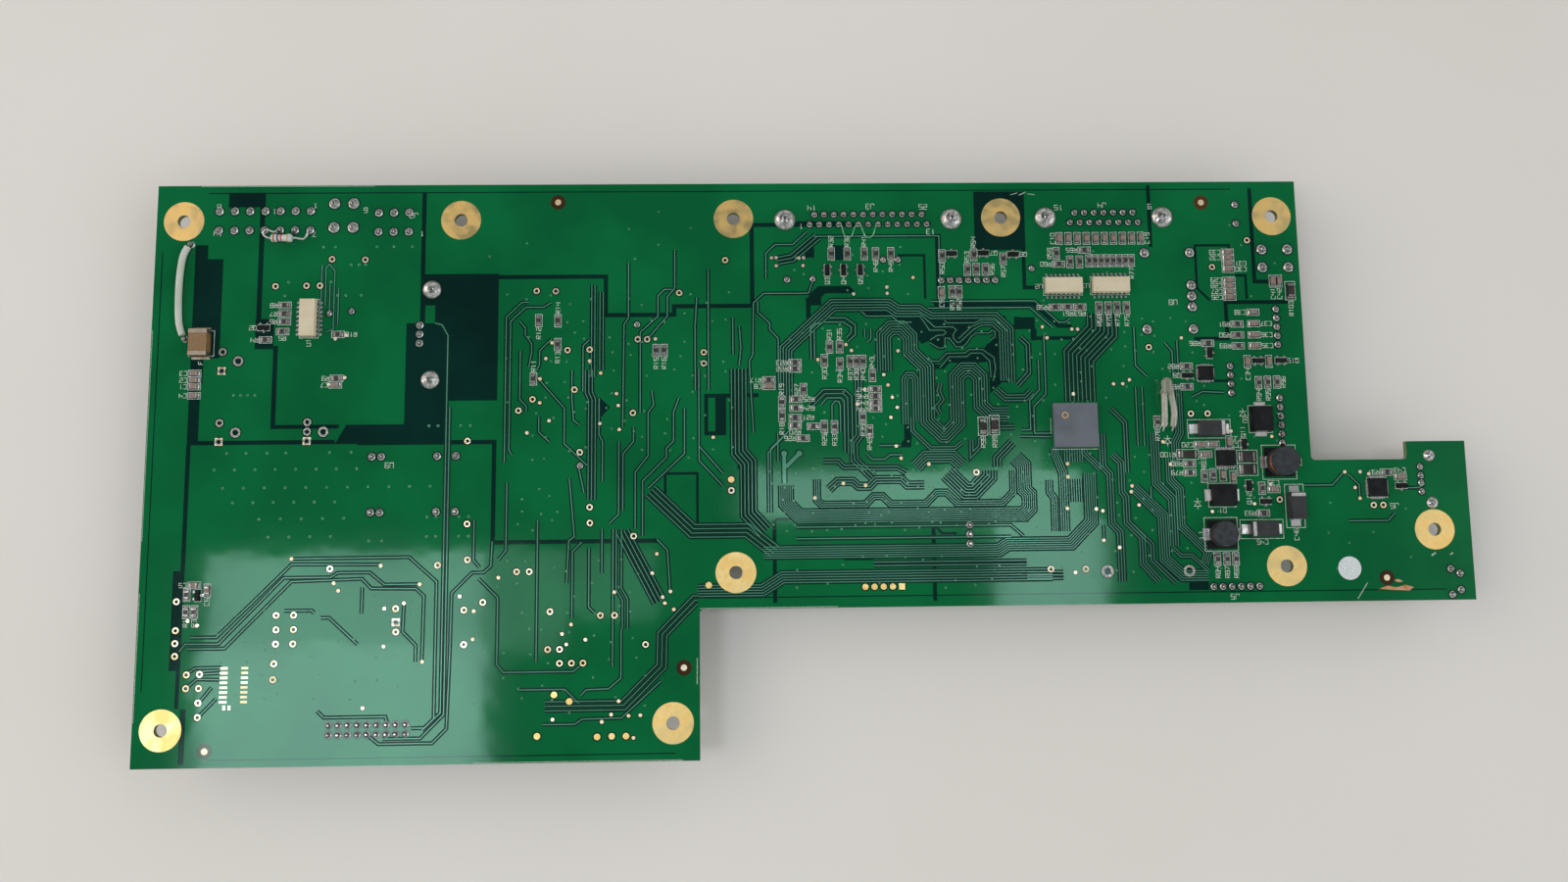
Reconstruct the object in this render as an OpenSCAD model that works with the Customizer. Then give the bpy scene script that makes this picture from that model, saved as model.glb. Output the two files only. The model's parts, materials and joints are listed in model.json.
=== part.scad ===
// Controller board of an industrial or vehicle unit, lying solder side up.
// The board is an L-shaped laminate with a notch in its right edge. Its soldered side (+Z) carries
// small surface parts, pin joints, ten gold mounting lands and a few hand-fitted repairs.
// Its connector side (-Z) carries the connectors, converters and other tall parts it rests on.
// Positions are written from the board's lower-left corner, seen from the soldered side, and
// place() carries them along when the board is made wider or taller. in_frame() then moves
// everything so that the lower-left mounting hole is the origin, with z = 0 on the board's
// connector side.

/* [Board] */
// Length of the board along its long edge
board_w = 364; // [364:1:450]
// Height of the board, from the foot's lower edge to the connector edge
board_h = 159; // [159:1:200]
// Thickness of the laminate
board_t = 1.6; // [1:0.1:2.4]
// Width of the foot at the lower left
foot_w = 150.5; // [148:0.5:156]
// Height of the foot below the long arm
arm_y = 40; // [36:0.5:41]
// Height of the ear's top edge at the right end
ear_y = 84; // [82:0.5:96]
// Height of the floor of the notch in the right edge
notch_y = 79; // [78:0.5:80]
// Width of the ear beside the notch
ear_w = 16.5; // [14:0.5:20]
// Width of the notch
notch_w = 27; // [18:0.5:28]
// Radius that the milling cutter leaves in an inside corner
mill_r = 1.2; // [0.5:0.1:2]

/* [Mounting] */
// Diameter of the mounting holes
mount_d = 3.6; // [3.2:0.1:4.4]
// Outside diameter of the gold mounting lands
land_d = 11.1; // [8:0.1:11.6]
// Thickness of a plated land
land_t = 0.05; // [0.03:0.01:0.1]
// Distance of the top row of mounting holes from the connector edge
mount_edge = 10.2; // [8:0.1:11]

/* [Connectors] */
// Pitch of the power header contacts
power_pitch = 4.2; // [4.2:0.1:4.6]
// Spacing of the two rows of the power headers
power_row = 5.5; // [5:0.1:6]
// Height that the board stands above a table on its connectors
stand_h = 12.6; // [11.8:0.1:15.6]
// Pitch of the contacts within a D connector row
dsub_pitch = 2.76; // [2.7:0.01:2.8]
// Spacing of the two rows of a D connector
dsub_row = 2.84; // [2.5:0.02:3]
// Height of the D connectors' flanges below the board
dsub_flange_z = 6.6; // [5.4:0.1:8]
// Pitch of the pin headers
header_pitch = 2.54; // [2:0.01:2.6]
// Length of the pin header posts below the board
header_post = 8.5; // [6:0.1:12]
// Width of the mouth of the USB receptacle
usb_w = 12.5; // [12:0.1:13]
// Height of the mouth of the USB receptacle
usb_h = 5.1; // [4.8:0.1:5.4]

/* [Switch] */
// Travel of the switch button
button_travel = 0.25; // [0.1:0.05:0.35]
// Diameter of the switch button
button_d = 3.3; // [2.5:0.1:3.6]

/* [Surface parts] */
// Length of an ordinary chip resistor or capacitor
chip_l = 2; // [1.6:0.05:2.2]
// Width of an ordinary chip resistor or capacitor
chip_w = 1.25; // [0.8:0.05:1.35]
// Diameter of the large choke's drum core
drum_d = 7.8; // [6:0.1:8]
// Height of the large choke's drum core
drum_h = 4.8; // [3:0.1:6]
// Side of the square processor package
processor_w = 12.2; // [10:0.1:13]
// Diameter of the white jumper's sleeve
jumper_d = 1.8; // [1.2:0.1:2.4]

/* [Hidden] */

drawn_w = 364;   // the width and height that the positions below are written for
drawn_h = 159;
split_x = 244;   // what lies right of this moves with the right edge
split_y = 98;    // what lies above this moves with the connector edge
seat_z = board_t;
gap = 0.05;      // clearance round what passes through something
power_h = stand_h;
link_h = stand_h;
dsub_shell_h = stand_h - dsub_flange_z;
datum = [7.5, 9.9];

function place(p) = [p.x + (p.x > split_x ? board_w - drawn_w : 0),
                     p.y + (p.y > split_y ? board_h - drawn_h : 0)];
function grid(c, nx, ny, px, py) =
    [for (i = [0:nx - 1]) for (j = [0:ny - 1])
        place(c) + [(i - (nx - 1) / 2) * px, (j - (ny - 1) / 2) * py]];
function placed(list) = [for (p = list) place(p)];
function turned(v, a) = [v.x * cos(a) - v.y * sin(a), v.x * sin(a) + v.y * cos(a)];

module in_frame() { translate([-datum.x, -datum.y, 0]) children(); }
module at(p, a = 0) { translate([place(p).x, place(p).y, 0]) rotate([0, 0, a]) children(); }
module on_top(p, a = 0) { in_frame() at(p, a) translate([0, 0, seat_z]) children(); }
module at_each(list, z = 0) { in_frame() for (p = list) translate([p.x, p.y, z]) children(); }
module block(size, z0 = 0) { translate([-size.x / 2, -size.y / 2, z0]) cube(size); }

/* ---- places: mounting holes, pins and open holes ---- */
mount_row_y = board_h - mount_edge;
mount_points = concat([for (x = [7.5, 84.2, 160.4, 236, 313.4]) [place([x, 0]).x, mount_row_y]],
                      [datum, [143.3, datum.y], [160.4, arm_y + 9.8], place([311.9, 49.8]),
                       place([353.8, 59.4])]);
inner_lower_y = arm_y + 9.8;

power_centres = [[29.8, 148.9], [65.5, 148.3]];
power_ways = [7, 3];
power_pins = concat(grid(power_centres[0], power_ways[0], 2, power_pitch, power_row),
                    grid(power_centres[1], power_ways[1], 2, power_pitch, power_row));

dsub_centres = [[198.4, 148.5], [265.4, 148.7]];
dsub_ways = [13, 8];                 // contacts in the wide row
dsub_lock = [23.52, 16.66];          // half the spacing of the boardlocks
function dsub_pins(k) = concat(
    [for (i = [0:dsub_ways[k] - 1])
        place(dsub_centres[k]) + [(i - (dsub_ways[k] - 1) / 2) * dsub_pitch, -dsub_row / 2]],
    [for (i = [0:dsub_ways[k] - 2])
        place(dsub_centres[k]) + [(i - (dsub_ways[k] - 2) / 2) * dsub_pitch, dsub_row / 2]]);
dsub_locks = [for (k = [0, 1]) for (s = [-1, 1]) place(dsub_centres[k]) + [s * dsub_lock[k], 0]];

// single-row headers: centre, number of ways, angle of the row
headers = [[[297.7, 44.4], 6, 0], [[312.7, 90.2], 6, 90], [[313.1, 116.8], 5, 90],
           [[226.3, 130.8], 7, 0], [[299.2, 101.9], 4, 90], [[224.6, 59.5], 3, 90]];
function header_row(h) = [for (i = [0:h[1] - 1])
    place(h[0]) + turned([(i - (h[1] - 1) / 2) * header_pitch, 0], h[2])];
wide_pair = [303.1, 149.5];          // two-way header with its posts far apart
wide_pair_pitch = 5.5;
wide_pair_pins = grid(wide_pair, 1, 2, 0, wide_pair_pitch);
header_pins = concat([for (h = headers) each header_row(h)], wide_pair_pins);
link_centre = [61.9, 9.4];
link_ways = 9;
link_pins = grid(link_centre, link_ways, 2, header_pitch, header_pitch);

usb_leg_x = 10.3;                    // legs behind the right edge
usb_y = 73.4;
usb_x = board_w - usb_leg_x;
usb_legs = [for (s = [-1, 1]) [usb_x, usb_y + s * 6.57]];
usb_pins = [for (y = [-3.5, -1, 1, 3.5]) [usb_x - 2.71, usb_y + y]];

switch_y = 45;
switch_x = board_w - 4;              // line of the switch's two terminals
switch_pins = concat([for (s = [-1, 1]) [switch_x, switch_y + s * 2.25]],
                     [for (s = [-1, 1]) [switch_x - 2.5, switch_y + s * 3.5]]);

sink_centre = [84.9, 116.3];
sink_pins = [for (s = [-1, 1]) place(sink_centre) + [-8.4, s * 12.7]];
q_pins = [for (i = [-1:1]) place([73.4, 116.4]) + [0, i * 2.54]];

brick_a = [72.6, 74.8];              // potted converter with two rows of pins
brick_a_pins = [for (n = [2, 3, 9, 11]) for (s = [-1, 1]) place(brick_a) + [(n - 6.5) * 2.54, s * 7.62]];
brick_b = [282.7, 127.3];            // converter with seven pins
brick_b_pins = [for (d = [[-6.2, 11], [6.7, 11], [6.7, 1.6], [6.7, -1.5], [6.7, -4.6], [6.7, -11],
                          [-6.4, -11]]) place(brick_b) + d];
chokes = [[51.6, 150.3], [313.7, 136.5]];
choke_pins = [for (d = [[-2.65, -3.45], [2.65, -3.45], [-2.65, 3.45], [2.65, 3.45]]) place(chokes[0]) + d];
choke_b_pins = [for (d = [[-3.7, -2.6], [3.7, -2.6], [-3.7, 2.6], [3.7, 2.6]]) place(chokes[1]) + d];

// plated holes left empty: gold ring with an open bore
open_rings = placed([
    [33.4, 130.2], [41.9, 130.3], [45.6, 130.3], [48.7, 137.8], [57.9, 137.6], [105.5, 128.4],
    [110.8, 128.3], [158, 136.9], [145.1, 127.6], [306, 141.8], [295.6, 134.1], [151.9, 110.7],
    [151.9, 107.6], [133.6, 114.5], [136.2, 114.5], [114.2, 111.6], [120.3, 111.7], [116.2, 100.5],
    [104.7, 97.9], [100.9, 94.8], [132.3, 93.9], [117.8, 83.1], [87.1, 86.5], [87.4, 63.8],
    [87.7, 54.1], [79.7, 52.7], [50.8, 52.1], [101, 50.7], [104.4, 50.7], [92, 42.6], [87, 40.6],
    [87.1, 31.4], [68.7, 41.2], [68.9, 35], [110.1, 39.9], [109.6, 29.8], [112.8, 29.8],
    [112.8, 26.1], [116, 26.1], [119.1, 26.1], [123.7, 38.7], [127.5, 38.7], [135.9, 30.8],
    [36.9, 39.8], [41.5, 39.8], [37, 36], [41.6, 36], [37, 32.2], [41.6, 32.2], [36.7, 27],
    [36.6, 22.8], [10.2, 43.8], [10.3, 36.1], [10.3, 32.7], [10.4, 29.3], [13.7, 24.4], [17.2, 24.5],
    [13.7, 20.8], [17.1, 20.8], [17.1, 17], [17.1, 13.2], [132.6, 60], [120.6, 68], [120.7, 63.7],
    [159.3, 72.2], [226.9, 76.5], [246.6, 49.7], [256.2, 49.6], [276.5, 111.2], [287.4, 92.3],
    [292.1, 92.3], [311, 68.1], [337.2, 66.3], [339.9, 66.3]]);
ring_d = 1.75;
ring_hole_d = 0.95;
// plated holes with their bores filled by solder or plating
filled_rings = placed([[159.3, 75.2], [107, 7], [111.4, 17.8], [115.5, 16], [123, 6.6],
                       [126.9, 6.7], [130.7, 6.7], [153, 46.5]]);
// wide empty holes: outside and bore
wide_rings = [[[262.2, 48.9], 3.3, 2.5], [[284.8, 48.8], 3.1, 2.2]];
// empty footprints of leaded semiconductors: round, then square lands
empty_round = placed([[19.7, 111.8], [43.4, 89.5], [43.4, 92.1], [19.6, 92.1]]);
empty_square = placed([[19.6, 106.5], [19.6, 86.9], [43.4, 86.9], [68.8, 37.6]]);
empty_wide = placed([[24, 109.2], [24, 89.4], [47.8, 89.4]]);
programming_pads = placed([for (i = [0:4]) [195.6 + 2.5 * i, 45.5]]);

// single soldered pins of parts that stand on the connector side
loose_pins = placed([[133.4, 118.7], [117.9, 79.4], [244.3, 134], [175.3, 131.2], [182.5, 131.4],
                     [202.4, 136.8], [206.5, 136.8], [54.5, 123], [48.3, 122.4]]);
choke_pin_d = 1.2;
power_pin_w = 1.14;
header_pin_w = 0.64;
dsub_pin_d = 1;
DRILLS = [[1.7, power_pins], [1.15, concat(dsub_pins(0), dsub_pins(1))], [3.1, dsub_locks],
          [1.05, concat(header_pins, link_pins)], [2.3, usb_legs], [0.95, usb_pins], [1.3, switch_pins],
          [2.6, sink_pins], [1.2, q_pins], [1.1, brick_a_pins], [1.5, brick_b_pins],
          [1.5, concat(choke_pins, choke_b_pins)], [ring_hole_d, open_rings], [1.2, empty_round],
          [1.2, empty_square], [1.7, empty_wide]];

/* ---- the board and what is plated on it ---- */
module inside_corner(p, a) {
    translate([p.x, p.y, 0]) rotate([0, 0, a]) difference() {
        cube([mill_r, mill_r, board_t]);
        translate([mill_r, mill_r, -1]) cylinder(r = mill_r, h = board_t + 2, $fn = 48);
    }
}
module board_blank() {
    linear_extrude(board_t) polygon([
        [0, 0], [foot_w, 0], [foot_w, arm_y], [board_w, arm_y], [board_w, ear_y],
        [board_w - ear_w, ear_y], [board_w - ear_w, notch_y],
        [board_w - ear_w - notch_w, notch_y], [board_w - ear_w - notch_w, board_h], [0, board_h]]);
    inside_corner([foot_w, arm_y], -90);
    inside_corner([board_w - ear_w, notch_y], 90);
    inside_corner([board_w - ear_w - notch_w, notch_y], 0);
}
module board() {
    color("#0b5a34") in_frame() difference() {
        board_blank();
        for (p = mount_points) translate([p.x, p.y, -1]) cylinder(d = mount_d, h = board_t + 2, $fn = 48);
        for (g = DRILLS) for (p = g[1])
            translate([p.x, p.y, -1]) cylinder(d = g[0], h = board_t + 2, $fn = 20);
        for (w = wide_rings)
            translate([place(w[0]).x, place(w[0]).y, -1]) cylinder(d = w[2], h = board_t + 2, $fn = 32);
    }
}
module land(d_out, d_in, faces = 48) {
    difference() {
        cylinder(d = d_out, h = land_t, $fn = faces);
        translate([0, 0, -1]) cylinder(d = d_in, h = land_t + 2, $fn = faces);
    }
}
module mounting_lands() {
    color("#d9b45a") for (z = [board_t, -land_t]) at_each(mount_points, z) land(land_d, mount_d);
}
module square_land(w, d_in) {
    difference() {
        block([w, w, land_t]);
        translate([0, 0, -1]) cylinder(d = d_in, h = land_t + 2, $fn = 20);
    }
}
module hole_lands() {
    color("#dcb566") {
        at_each(open_rings, board_t) land(ring_d, ring_hole_d, 24);
        at_each(empty_round, board_t) land(2.1, 1.2, 24);
        at_each(empty_square, board_t) square_land(2.1, 1.2);
        at_each(empty_wide, board_t) land(2.7, 1.7, 24);
        for (w = wide_rings) in_frame() at(w[0]) translate([0, 0, board_t]) land(w[1], w[2], 32);
    }
}
module test_pads() {
    color("#e8c878") {
        at_each([for (i = [0:3]) programming_pads[i]], board_t) cylinder(d = 1.7, h = land_t, $fn = 24);
        at_each([programming_pads[4]], board_t) block([1.7, 1.7, land_t]);
        at_each(filled_rings, board_t) cylinder(d = 1.75, h = land_t, $fn = 24);
    }
}

/* ---- solder: a fillet with a concave flank that climbs to the clipped pin end ---- */
module joint(r, h, tip_r) {
    rotate_extrude($fn = 24) polygon([
        [0, 0], [r, 0], [r, 0.06], [r * 0.72, h * 0.28], [tip_r + (r - tip_r) * 0.25, h * 0.62],
        [tip_r, h * 0.9], [tip_r, h], [tip_r * 0.6, h + 0.12], [0, h + 0.12]]);
}
module dome(r, h, tip_r) {
    rotate_extrude($fn = 40) polygon([
        [0, 0], [r, 0], [r, 0.08], [r * 0.94, h * 0.22], [r * 0.78, h * 0.5], [r * 0.52, h * 0.74],
        [tip_r, h * 0.86], [tip_r, h], [tip_r * 0.7, h + 0.1], [0, h + 0.1]]);
}
module solder_joints() {
    color("#b9bcbb") {
        at_each(power_pins, seat_z) joint(1.1, 1.05, 0.45);
        at_each(concat(dsub_pins(0), dsub_pins(1)), seat_z) joint(0.85, 1.1, 0.4);
        at_each(concat(header_pins, link_pins), seat_z) joint(0.92, 1, 0.36);
        at_each(concat(q_pins, brick_a_pins), seat_z) joint(1, 1, 0.4);
        at_each(brick_b_pins, seat_z) joint(1.3, 1.1, 0.55);
        at_each(choke_b_pins, seat_z) joint(1.4, 1.2, 0.6);
        at_each(choke_pins, seat_z) joint(1.5, 1.1, 0.6);
        at_each(usb_pins, seat_z) joint(0.85, 0.8, 0.36);
        at_each(switch_pins, seat_z) joint(0.95, 1, 0.42);
        at_each(loose_pins, seat_z) joint(0.8, 0.8, 0.36);
    }
}
module solder_domes() {
    color("#c3c6c4") {
        at_each(dsub_locks, seat_z) dome(3.05, 1.9, 0.75);
        at_each(sink_pins, seat_z) dome(2.6, 1.7, 0.85);
        at_each(usb_legs, seat_z) dome(1.65, 1.1, 0.5);
    }
}

/* ---- small surface parts on the soldered side ---- */
chip_resistors = [
    [36.2, 124.8, 0], [36.2, 122.4, 0], [36.2, 120.2, 0], [31.2, 115.1, 0], [35.8, 117.4, 0],
    [51, 116.5, 0], [51, 104.2, 0], [106.2, 120, 90], [111.5, 119.9, 90], [111.5, 113.2, 90],
    [104.9, 103.6, 90], [138.7, 111.3, 90], [140.9, 111.3, 90], [169.9, 102.8, 0], [173.4, 96.5, 90],
    [173.4, 92.7, 90], [187.8, 138.5, 90], [192.3, 138.5, 90], [197.1, 138.5, 90], [200.3, 138.5, 90],
    [204.6, 138.5, 90], [221.6, 127.4, 90], [223.5, 127.4, 90], [219, 137.8, 90], [228, 138, 90],
    [226.1, 133.8, 90], [228.6, 133.8, 90], [231.2, 133.8, 90], [236.3, 136.8, 90],
    [177.2, 107.6, 0], [177.2, 105.8, 0], [186.9, 111.9, 90], [189.7, 112, 90], [185.4, 108.1, 90],
    [189.7, 107.1, 90], [192.6, 107.8, 90], [194.3, 107.8, 90], [196.1, 107.8, 90],
    [198.7, 103.8, 90], [199.4, 99.9, 0], [199.4, 98, 0], [199.4, 96.2, 0], [199.4, 94.5, 0],
    [179.5, 100, 90], [177.3, 97.3, 0], [177.3, 94.8, 0], [177.1, 92.2, 0], [177, 90, 0],
    [182.1, 89.7, 0], [185.1, 89.6, 90], [187.9, 89.5, 90], [195.8, 92.1, 90], [197.6, 88.2, 90],
    [179.2, 86.4, 0], [251.4, 138.3, 90], [252, 135.2, 0], [255.2, 135.8, 90], [257.9, 135.8, 90],
    [259.4, 139.2, 0], [250.5, 122.8, 0], [254, 122.8, 0], [257.5, 122.8, 0], [262.9, 122.5, 90],
    [265.5, 122.5, 90], [268, 122.5, 90], [270.7, 122.5, 90], [301.8, 117.6, 0], [301.8, 114.5, 0],
    [301.8, 111.4, 0], [293.2, 112.2, 0], [286.8, 105.7, 0], [286.7, 99.9, 0], [306.9, 100.9, 90],
    [309.5, 101, 90], [312.1, 101, 90], [306.2, 71.3, 90], [306.2, 64.4, 0], [286.3, 78.3, 0],
    [286.3, 75.8, 0], [290.3, 74.8, 90], [292.7, 75.1, 90], [292.7, 51.9, 90], [295.3, 51.9, 90],
    [297.8, 51.9, 90], [341.4, 75.4, 0], [12.9, 45.6, 90], [12.9, 41, 90], [15.1, 41, 90],
    [277.8, 90, 90]];
lead_row_x = [for (i = [0:7]) 260.6 + 1.72 * i];
filter_row_x = [for (i = [0:9]) 252.4 + 2.58 * i];
resistors = concat(chip_resistors, [for (x = lead_row_x) [x, 136.1, 90]]);
chip_capacitors = [
    [12.3, 105.9, 0], [12.3, 104, 0], [12.3, 102.2, 0], [12.4, 99.7, 0], [50.7, 102.4, 0],
    [169.9, 101, 0], [312.6, 129.9, 90], [314.4, 129.9, 90], [306.5, 121, 0], [306.5, 117.7, 0],
    [306.5, 114.5, 0], [306.5, 111.4, 0], [304.1, 106.9, 90], [310.2, 106.9, 90], [289.6, 83.6, 0],
    [293.2, 83.6, 0], [297.7, 84.25, 90], [291, 80.9, 0], [295.5, 75.1, 90], [298.3, 74.5, 90],
    [309.5, 70.9, 0], [345.2, 74.1, 0], [14.7, 48.1, 0], [18.3, 46.7, 90], [218.6, 127.2, 90]];
capacitors = concat(chip_capacitors, [for (x = filter_row_x) [x, 142.6, 90]],
                    [for (y = [138.4, 136.75, 135.1, 133.4, 130.3, 128.65, 127, 125.35]) [300.2, y, 0]]);
// larger chips: place, angle, length, width, height
large_chips = [[[229.1, 89.3], 90, 3.2, 1.6, 0.6], [[232.3, 89.6], 90, 3.6, 1.7, 1],
               [[302.5, 80.1], 0, 3.8, 2.6, 0.6], [[302.5, 76.6], 0, 3.8, 2.5, 0.6],
               [[285.9, 80.9], 0, 4.2, 1.7, 1.1], [[317.5, 127.1], 90, 3.4, 1.8, 1]];
resistor_h = 0.5;
capacitor_h = 0.8;
chip_end = 0.42;
fillet = 0.45;

// tinned end of a chip with the solder fillet that climbs it
module chip_end_cap(l, w, h, end) {
    for (s = [0, 180]) rotate([0, 0, s]) translate([l / 2 - end, w / 2, 0]) rotate([90, 0, 0])
        linear_extrude(w) polygon([[0, 0], [end + fillet, 0], [end + fillet * 0.35, h * 0.3],
                                   [end, h * 0.85], [end, h], [0, h]]);
}
module chip_resistor_bodies() {
    color("#2a2624") for (c = resistors) on_top([c.x, c.y], c[2])
        block([chip_l - 2 * chip_end, chip_w, resistor_h - 0.05]);
}
module chip_capacitor_bodies() {
    color("#8a6a50") for (c = capacitors) on_top([c.x, c.y], c[2])
        block([chip_l - 2 * chip_end, chip_w, capacitor_h - 0.04]);
}
module chip_ends() {
    color("#c9ccca") {
        for (c = resistors) on_top([c.x, c.y], c[2]) chip_end_cap(chip_l, chip_w, resistor_h, chip_end);
        for (c = capacitors) on_top([c.x, c.y], c[2]) chip_end_cap(chip_l, chip_w, capacitor_h, chip_end);
        for (c = large_chips) on_top(c[0], c[1]) chip_end_cap(c[2], c[3], c[4], chip_end);
    }
}
module large_chip_bodies() {
    color("#2b2a2b") for (c = large_chips) on_top(c[0], c[1])
        block([c[2] - 2 * chip_end, c[3], c[4] - 0.05]);
}

/* ---- three- and six-lead transistors; the single lead points along the angle ---- */
transistors = [[30.6, 118.5, 270], [186.6, 133.8, 180], [191.2, 133.8, 180], [195.9, 133.8, 180],
               [221.7, 138.4, 90], [230.7, 138.5, 90], [239.1, 138.1, 90], [286.9, 103.1, 270],
               [293.5, 109.5, 0], [301.8, 83.6, 0], [302.5, 72, 180], [307, 67.6, 270],
               [15.9, 45.4, 0], [345.3, 71.6, 270]];
quad_parts = [[307.1, 107.1, 0], [313.6, 107.1, 0]];
sot_l = 2.9;
sot_w = 1.3;
sot_h = 0.95;
lead_t = 0.12;
module bevelled_body(l, w, h, stand) {
    rim = h * 0.12;
    translate([-l / 2, 0, stand]) rotate([90, 0, 90]) linear_extrude(l) polygon([
        [-w / 2 + rim, 0], [w / 2 - rim, 0], [w / 2, h * 0.45], [w / 2 - rim, h], [-w / 2 + rim, h],
        [-w / 2, h * 0.45]]);
}
// formed lead: flat in the body's side, bent down, foot on its pad
module formed_lead(reach, body_edge, z, w) {
    t = lead_t;
    translate([0, w / 2, 0]) rotate([90, 0, 0]) linear_extrude(w) polygon([
        [body_edge, z], [body_edge + (reach - body_edge) * 0.3, z], [reach - 0.45, 0], [reach, 0],
        [reach, t], [reach - 0.4, t], [body_edge + (reach - body_edge) * 0.38, z + t],
        [body_edge, z + t]]);
}
module transistor_bodies() {
    color("#232225") {
        for (q = transistors) on_top([q.x, q.y], q[2] + 90) bevelled_body(sot_l, sot_w, sot_h, 0.08);
        for (q = quad_parts) on_top([q.x, q.y], q[2]) bevelled_body(sot_l, sot_w, sot_h, 0.08);
    }
}
module transistor_leads() {
    color("#c4c7c6") {
        for (q = transistors) on_top([q.x, q.y], q[2]) {
            formed_lead(1.3, sot_w / 2, 0.4, 0.42);
            for (s = [-1, 1]) translate([0, s * 0.95, 0]) rotate([0, 0, 180])
                formed_lead(1.3, sot_w / 2, 0.4, 0.42);
        }
        for (q = quad_parts) on_top([q.x, q.y], q[2]) for (a = [90, 270]) rotate([0, 0, a])
            for (s = [-1, 1]) translate([0, s * 0.95, 0]) formed_lead(1.3, sot_w / 2, 0.4, 0.42);
    }
}

/* ---- opto couplers in sixteen-lead small outline packages ---- */
couplers = [[43, 121, 90], [252.9, 128.8, 0], [266.2, 128.9, 0]];
coupler_l = 10.3;
coupler_w = 4.6;
coupler_h = 2;
coupler_pitch = 1.27;
module coupler_bodies() {
    color("#d9cfae") for (c = couplers) on_top([c.x, c.y], c[2]) {
        difference() {
            bevelled_body(coupler_l, coupler_w, coupler_h, 0.1);
            translate([-coupler_l / 2 + 1, -coupler_w / 2 + 1, coupler_h]) cylinder(d = 0.8, h = 1, $fn = 24);
        }
    }
}
module coupler_leads() {
    color("#cfd1d0") for (c = couplers) on_top([c.x, c.y], c[2])
        for (a = [90, 270]) rotate([0, 0, a]) for (i = [-3.5:3.5]) translate([0, i * coupler_pitch, 0])
            formed_lead(3.5, coupler_w / 2, 0.85, 0.42);
}

/* ---- processor in a moulded square package on a thin base ---- */
processor = [254.6, 89.2];
processor_h = 1.45;
processor_base_t = 0.55;
module processor_base() {
    color("#1d2a24") on_top(processor) block([processor_w - 0.3, processor_w - 0.3, processor_base_t]);
}
module processor_body() {
    color("#4d525c") on_top(processor) difference() {
        block([processor_w, processor_w, processor_h], processor_base_t);
        translate([-processor_w / 2 + 2.3, processor_w / 2 - 2.3, processor_base_t + processor_h - 0.04])
            cylinder(d = 1.1, h = 1, $fn = 24);
    }
}

/* ---- supply controllers: place, length, width, height, leads per side, on all four sides ---- */
controllers = [[[296.4, 79.8], 5, 4.4, 1, 8, false, 0.65], [[292, 103.7], 4, 4, 0.9, 4, true, 0.65],
               [[338.4, 71.2], 5.1, 5.1, 0.9, 8, true, 0.5]];
module controller_bodies() {
    color("#26262a") for (c = controllers) on_top(c[0]) difference() {
        bevelled_body(c[1], c[2], c[3], 0.05);
        translate([-c[1] / 2 + 0.8, -c[2] / 2 + 0.8, c[3] + 0.02]) cylinder(d = 0.5, h = 1, $fn = 16);
    }
}
module controller_leads() {
    color("#c9cbcc") for (c = controllers) on_top(c[0])
        for (a = c[5] ? [0, 90, 180, 270] : [90, 270]) rotate([0, 0, a])
            for (i = [0:c[4] - 1]) translate([0, (i - (c[4] - 1) / 2) * c[6], 0])
                formed_lead(c[5] ? c[2] / 2 + 0.55 : 2.95, (a == 0 || a == 180 ? c[1] : c[2]) / 2, 0.35, 0.26);
}

/* ---- wound drum chokes on square bases ---- */
// place, base side, drum diameter, drum height, number of visible terminals
drums = [[[311.4, 78.5], 8.1, drum_d, drum_h], [[294.1, 58.7], 7.8, drum_d * 0.88, drum_h * 0.8]];
flange_t = 0.8;
base_t = 0.7;
module drum_bases() {
    color("#22201f") for (d = drums) on_top(d[0]) difference() {
        block([d[1], d[1], base_t]);
        for (s = [-1, 1]) translate([s * d[1] / 2, 0, -1]) block([2.2, 3.2, 4]);
    }
}
module drum_terminals() {
    color("#d5d6d4") for (d = drums) on_top(d[0]) for (s = [0, 180]) rotate([0, 0, s])
        translate([d[1] / 2 - 1.1, -1.6, 0]) {
            cube([2.2, 3.2, 0.25]);
            translate([0, 0, 0.25]) cube([0.8, 3.2, base_t - 0.25]);
        }
}
module drum_cores() {
    color("#45454b") for (d = drums) on_top(d[0]) translate([0, 0, base_t]) {
        cylinder(d = d[2], h = flange_t, $fn = 64);
        translate([0, 0, flange_t]) cylinder(d = d[2] * 0.5, h = d[3] - base_t - 2 * flange_t, $fn = 48);
        translate([0, 0, d[3] - base_t - flange_t]) cylinder(d = d[2], h = flange_t, $fn = 64);
    }
}
wire_d = 0.42;
module drum_windings() {
    color("#b0582c") for (d = drums) on_top(d[0]) {
        turns = floor((d[3] - base_t - 2 * flange_t) / wire_d);
        r0 = d[2] * 0.25 + gap;
        for (i = [0:turns - 1]) translate([0, 0, base_t + flange_t + (i + 0.5) * wire_d])
            rotate_extrude($fn = 40) translate([r0 + d[2] * 0.17 / 2, 0])
                square([d[2] * 0.17, wire_d - 0.04], center = true);
    }
}

/* ---- moulded tantalum capacitors and rectifiers with wrapped terminals ---- */
tantalums = [[292.3, 88, 0], [315.1, 66.3, 90], [305.5, 60, 0]];
tantalum = [7.3, 4.3, 2.8];
module moulded_block(l, w, h) {
    translate([-l / 2, 0, 0]) rotate([90, 0, 90]) linear_extrude(l) polygon([
        [-w / 2, 0.1], [w / 2, 0.1], [w / 2, h * 0.55], [w / 2 - 0.18, h], [-w / 2 + 0.18, h],
        [-w / 2, h * 0.55]]);
}
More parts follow.
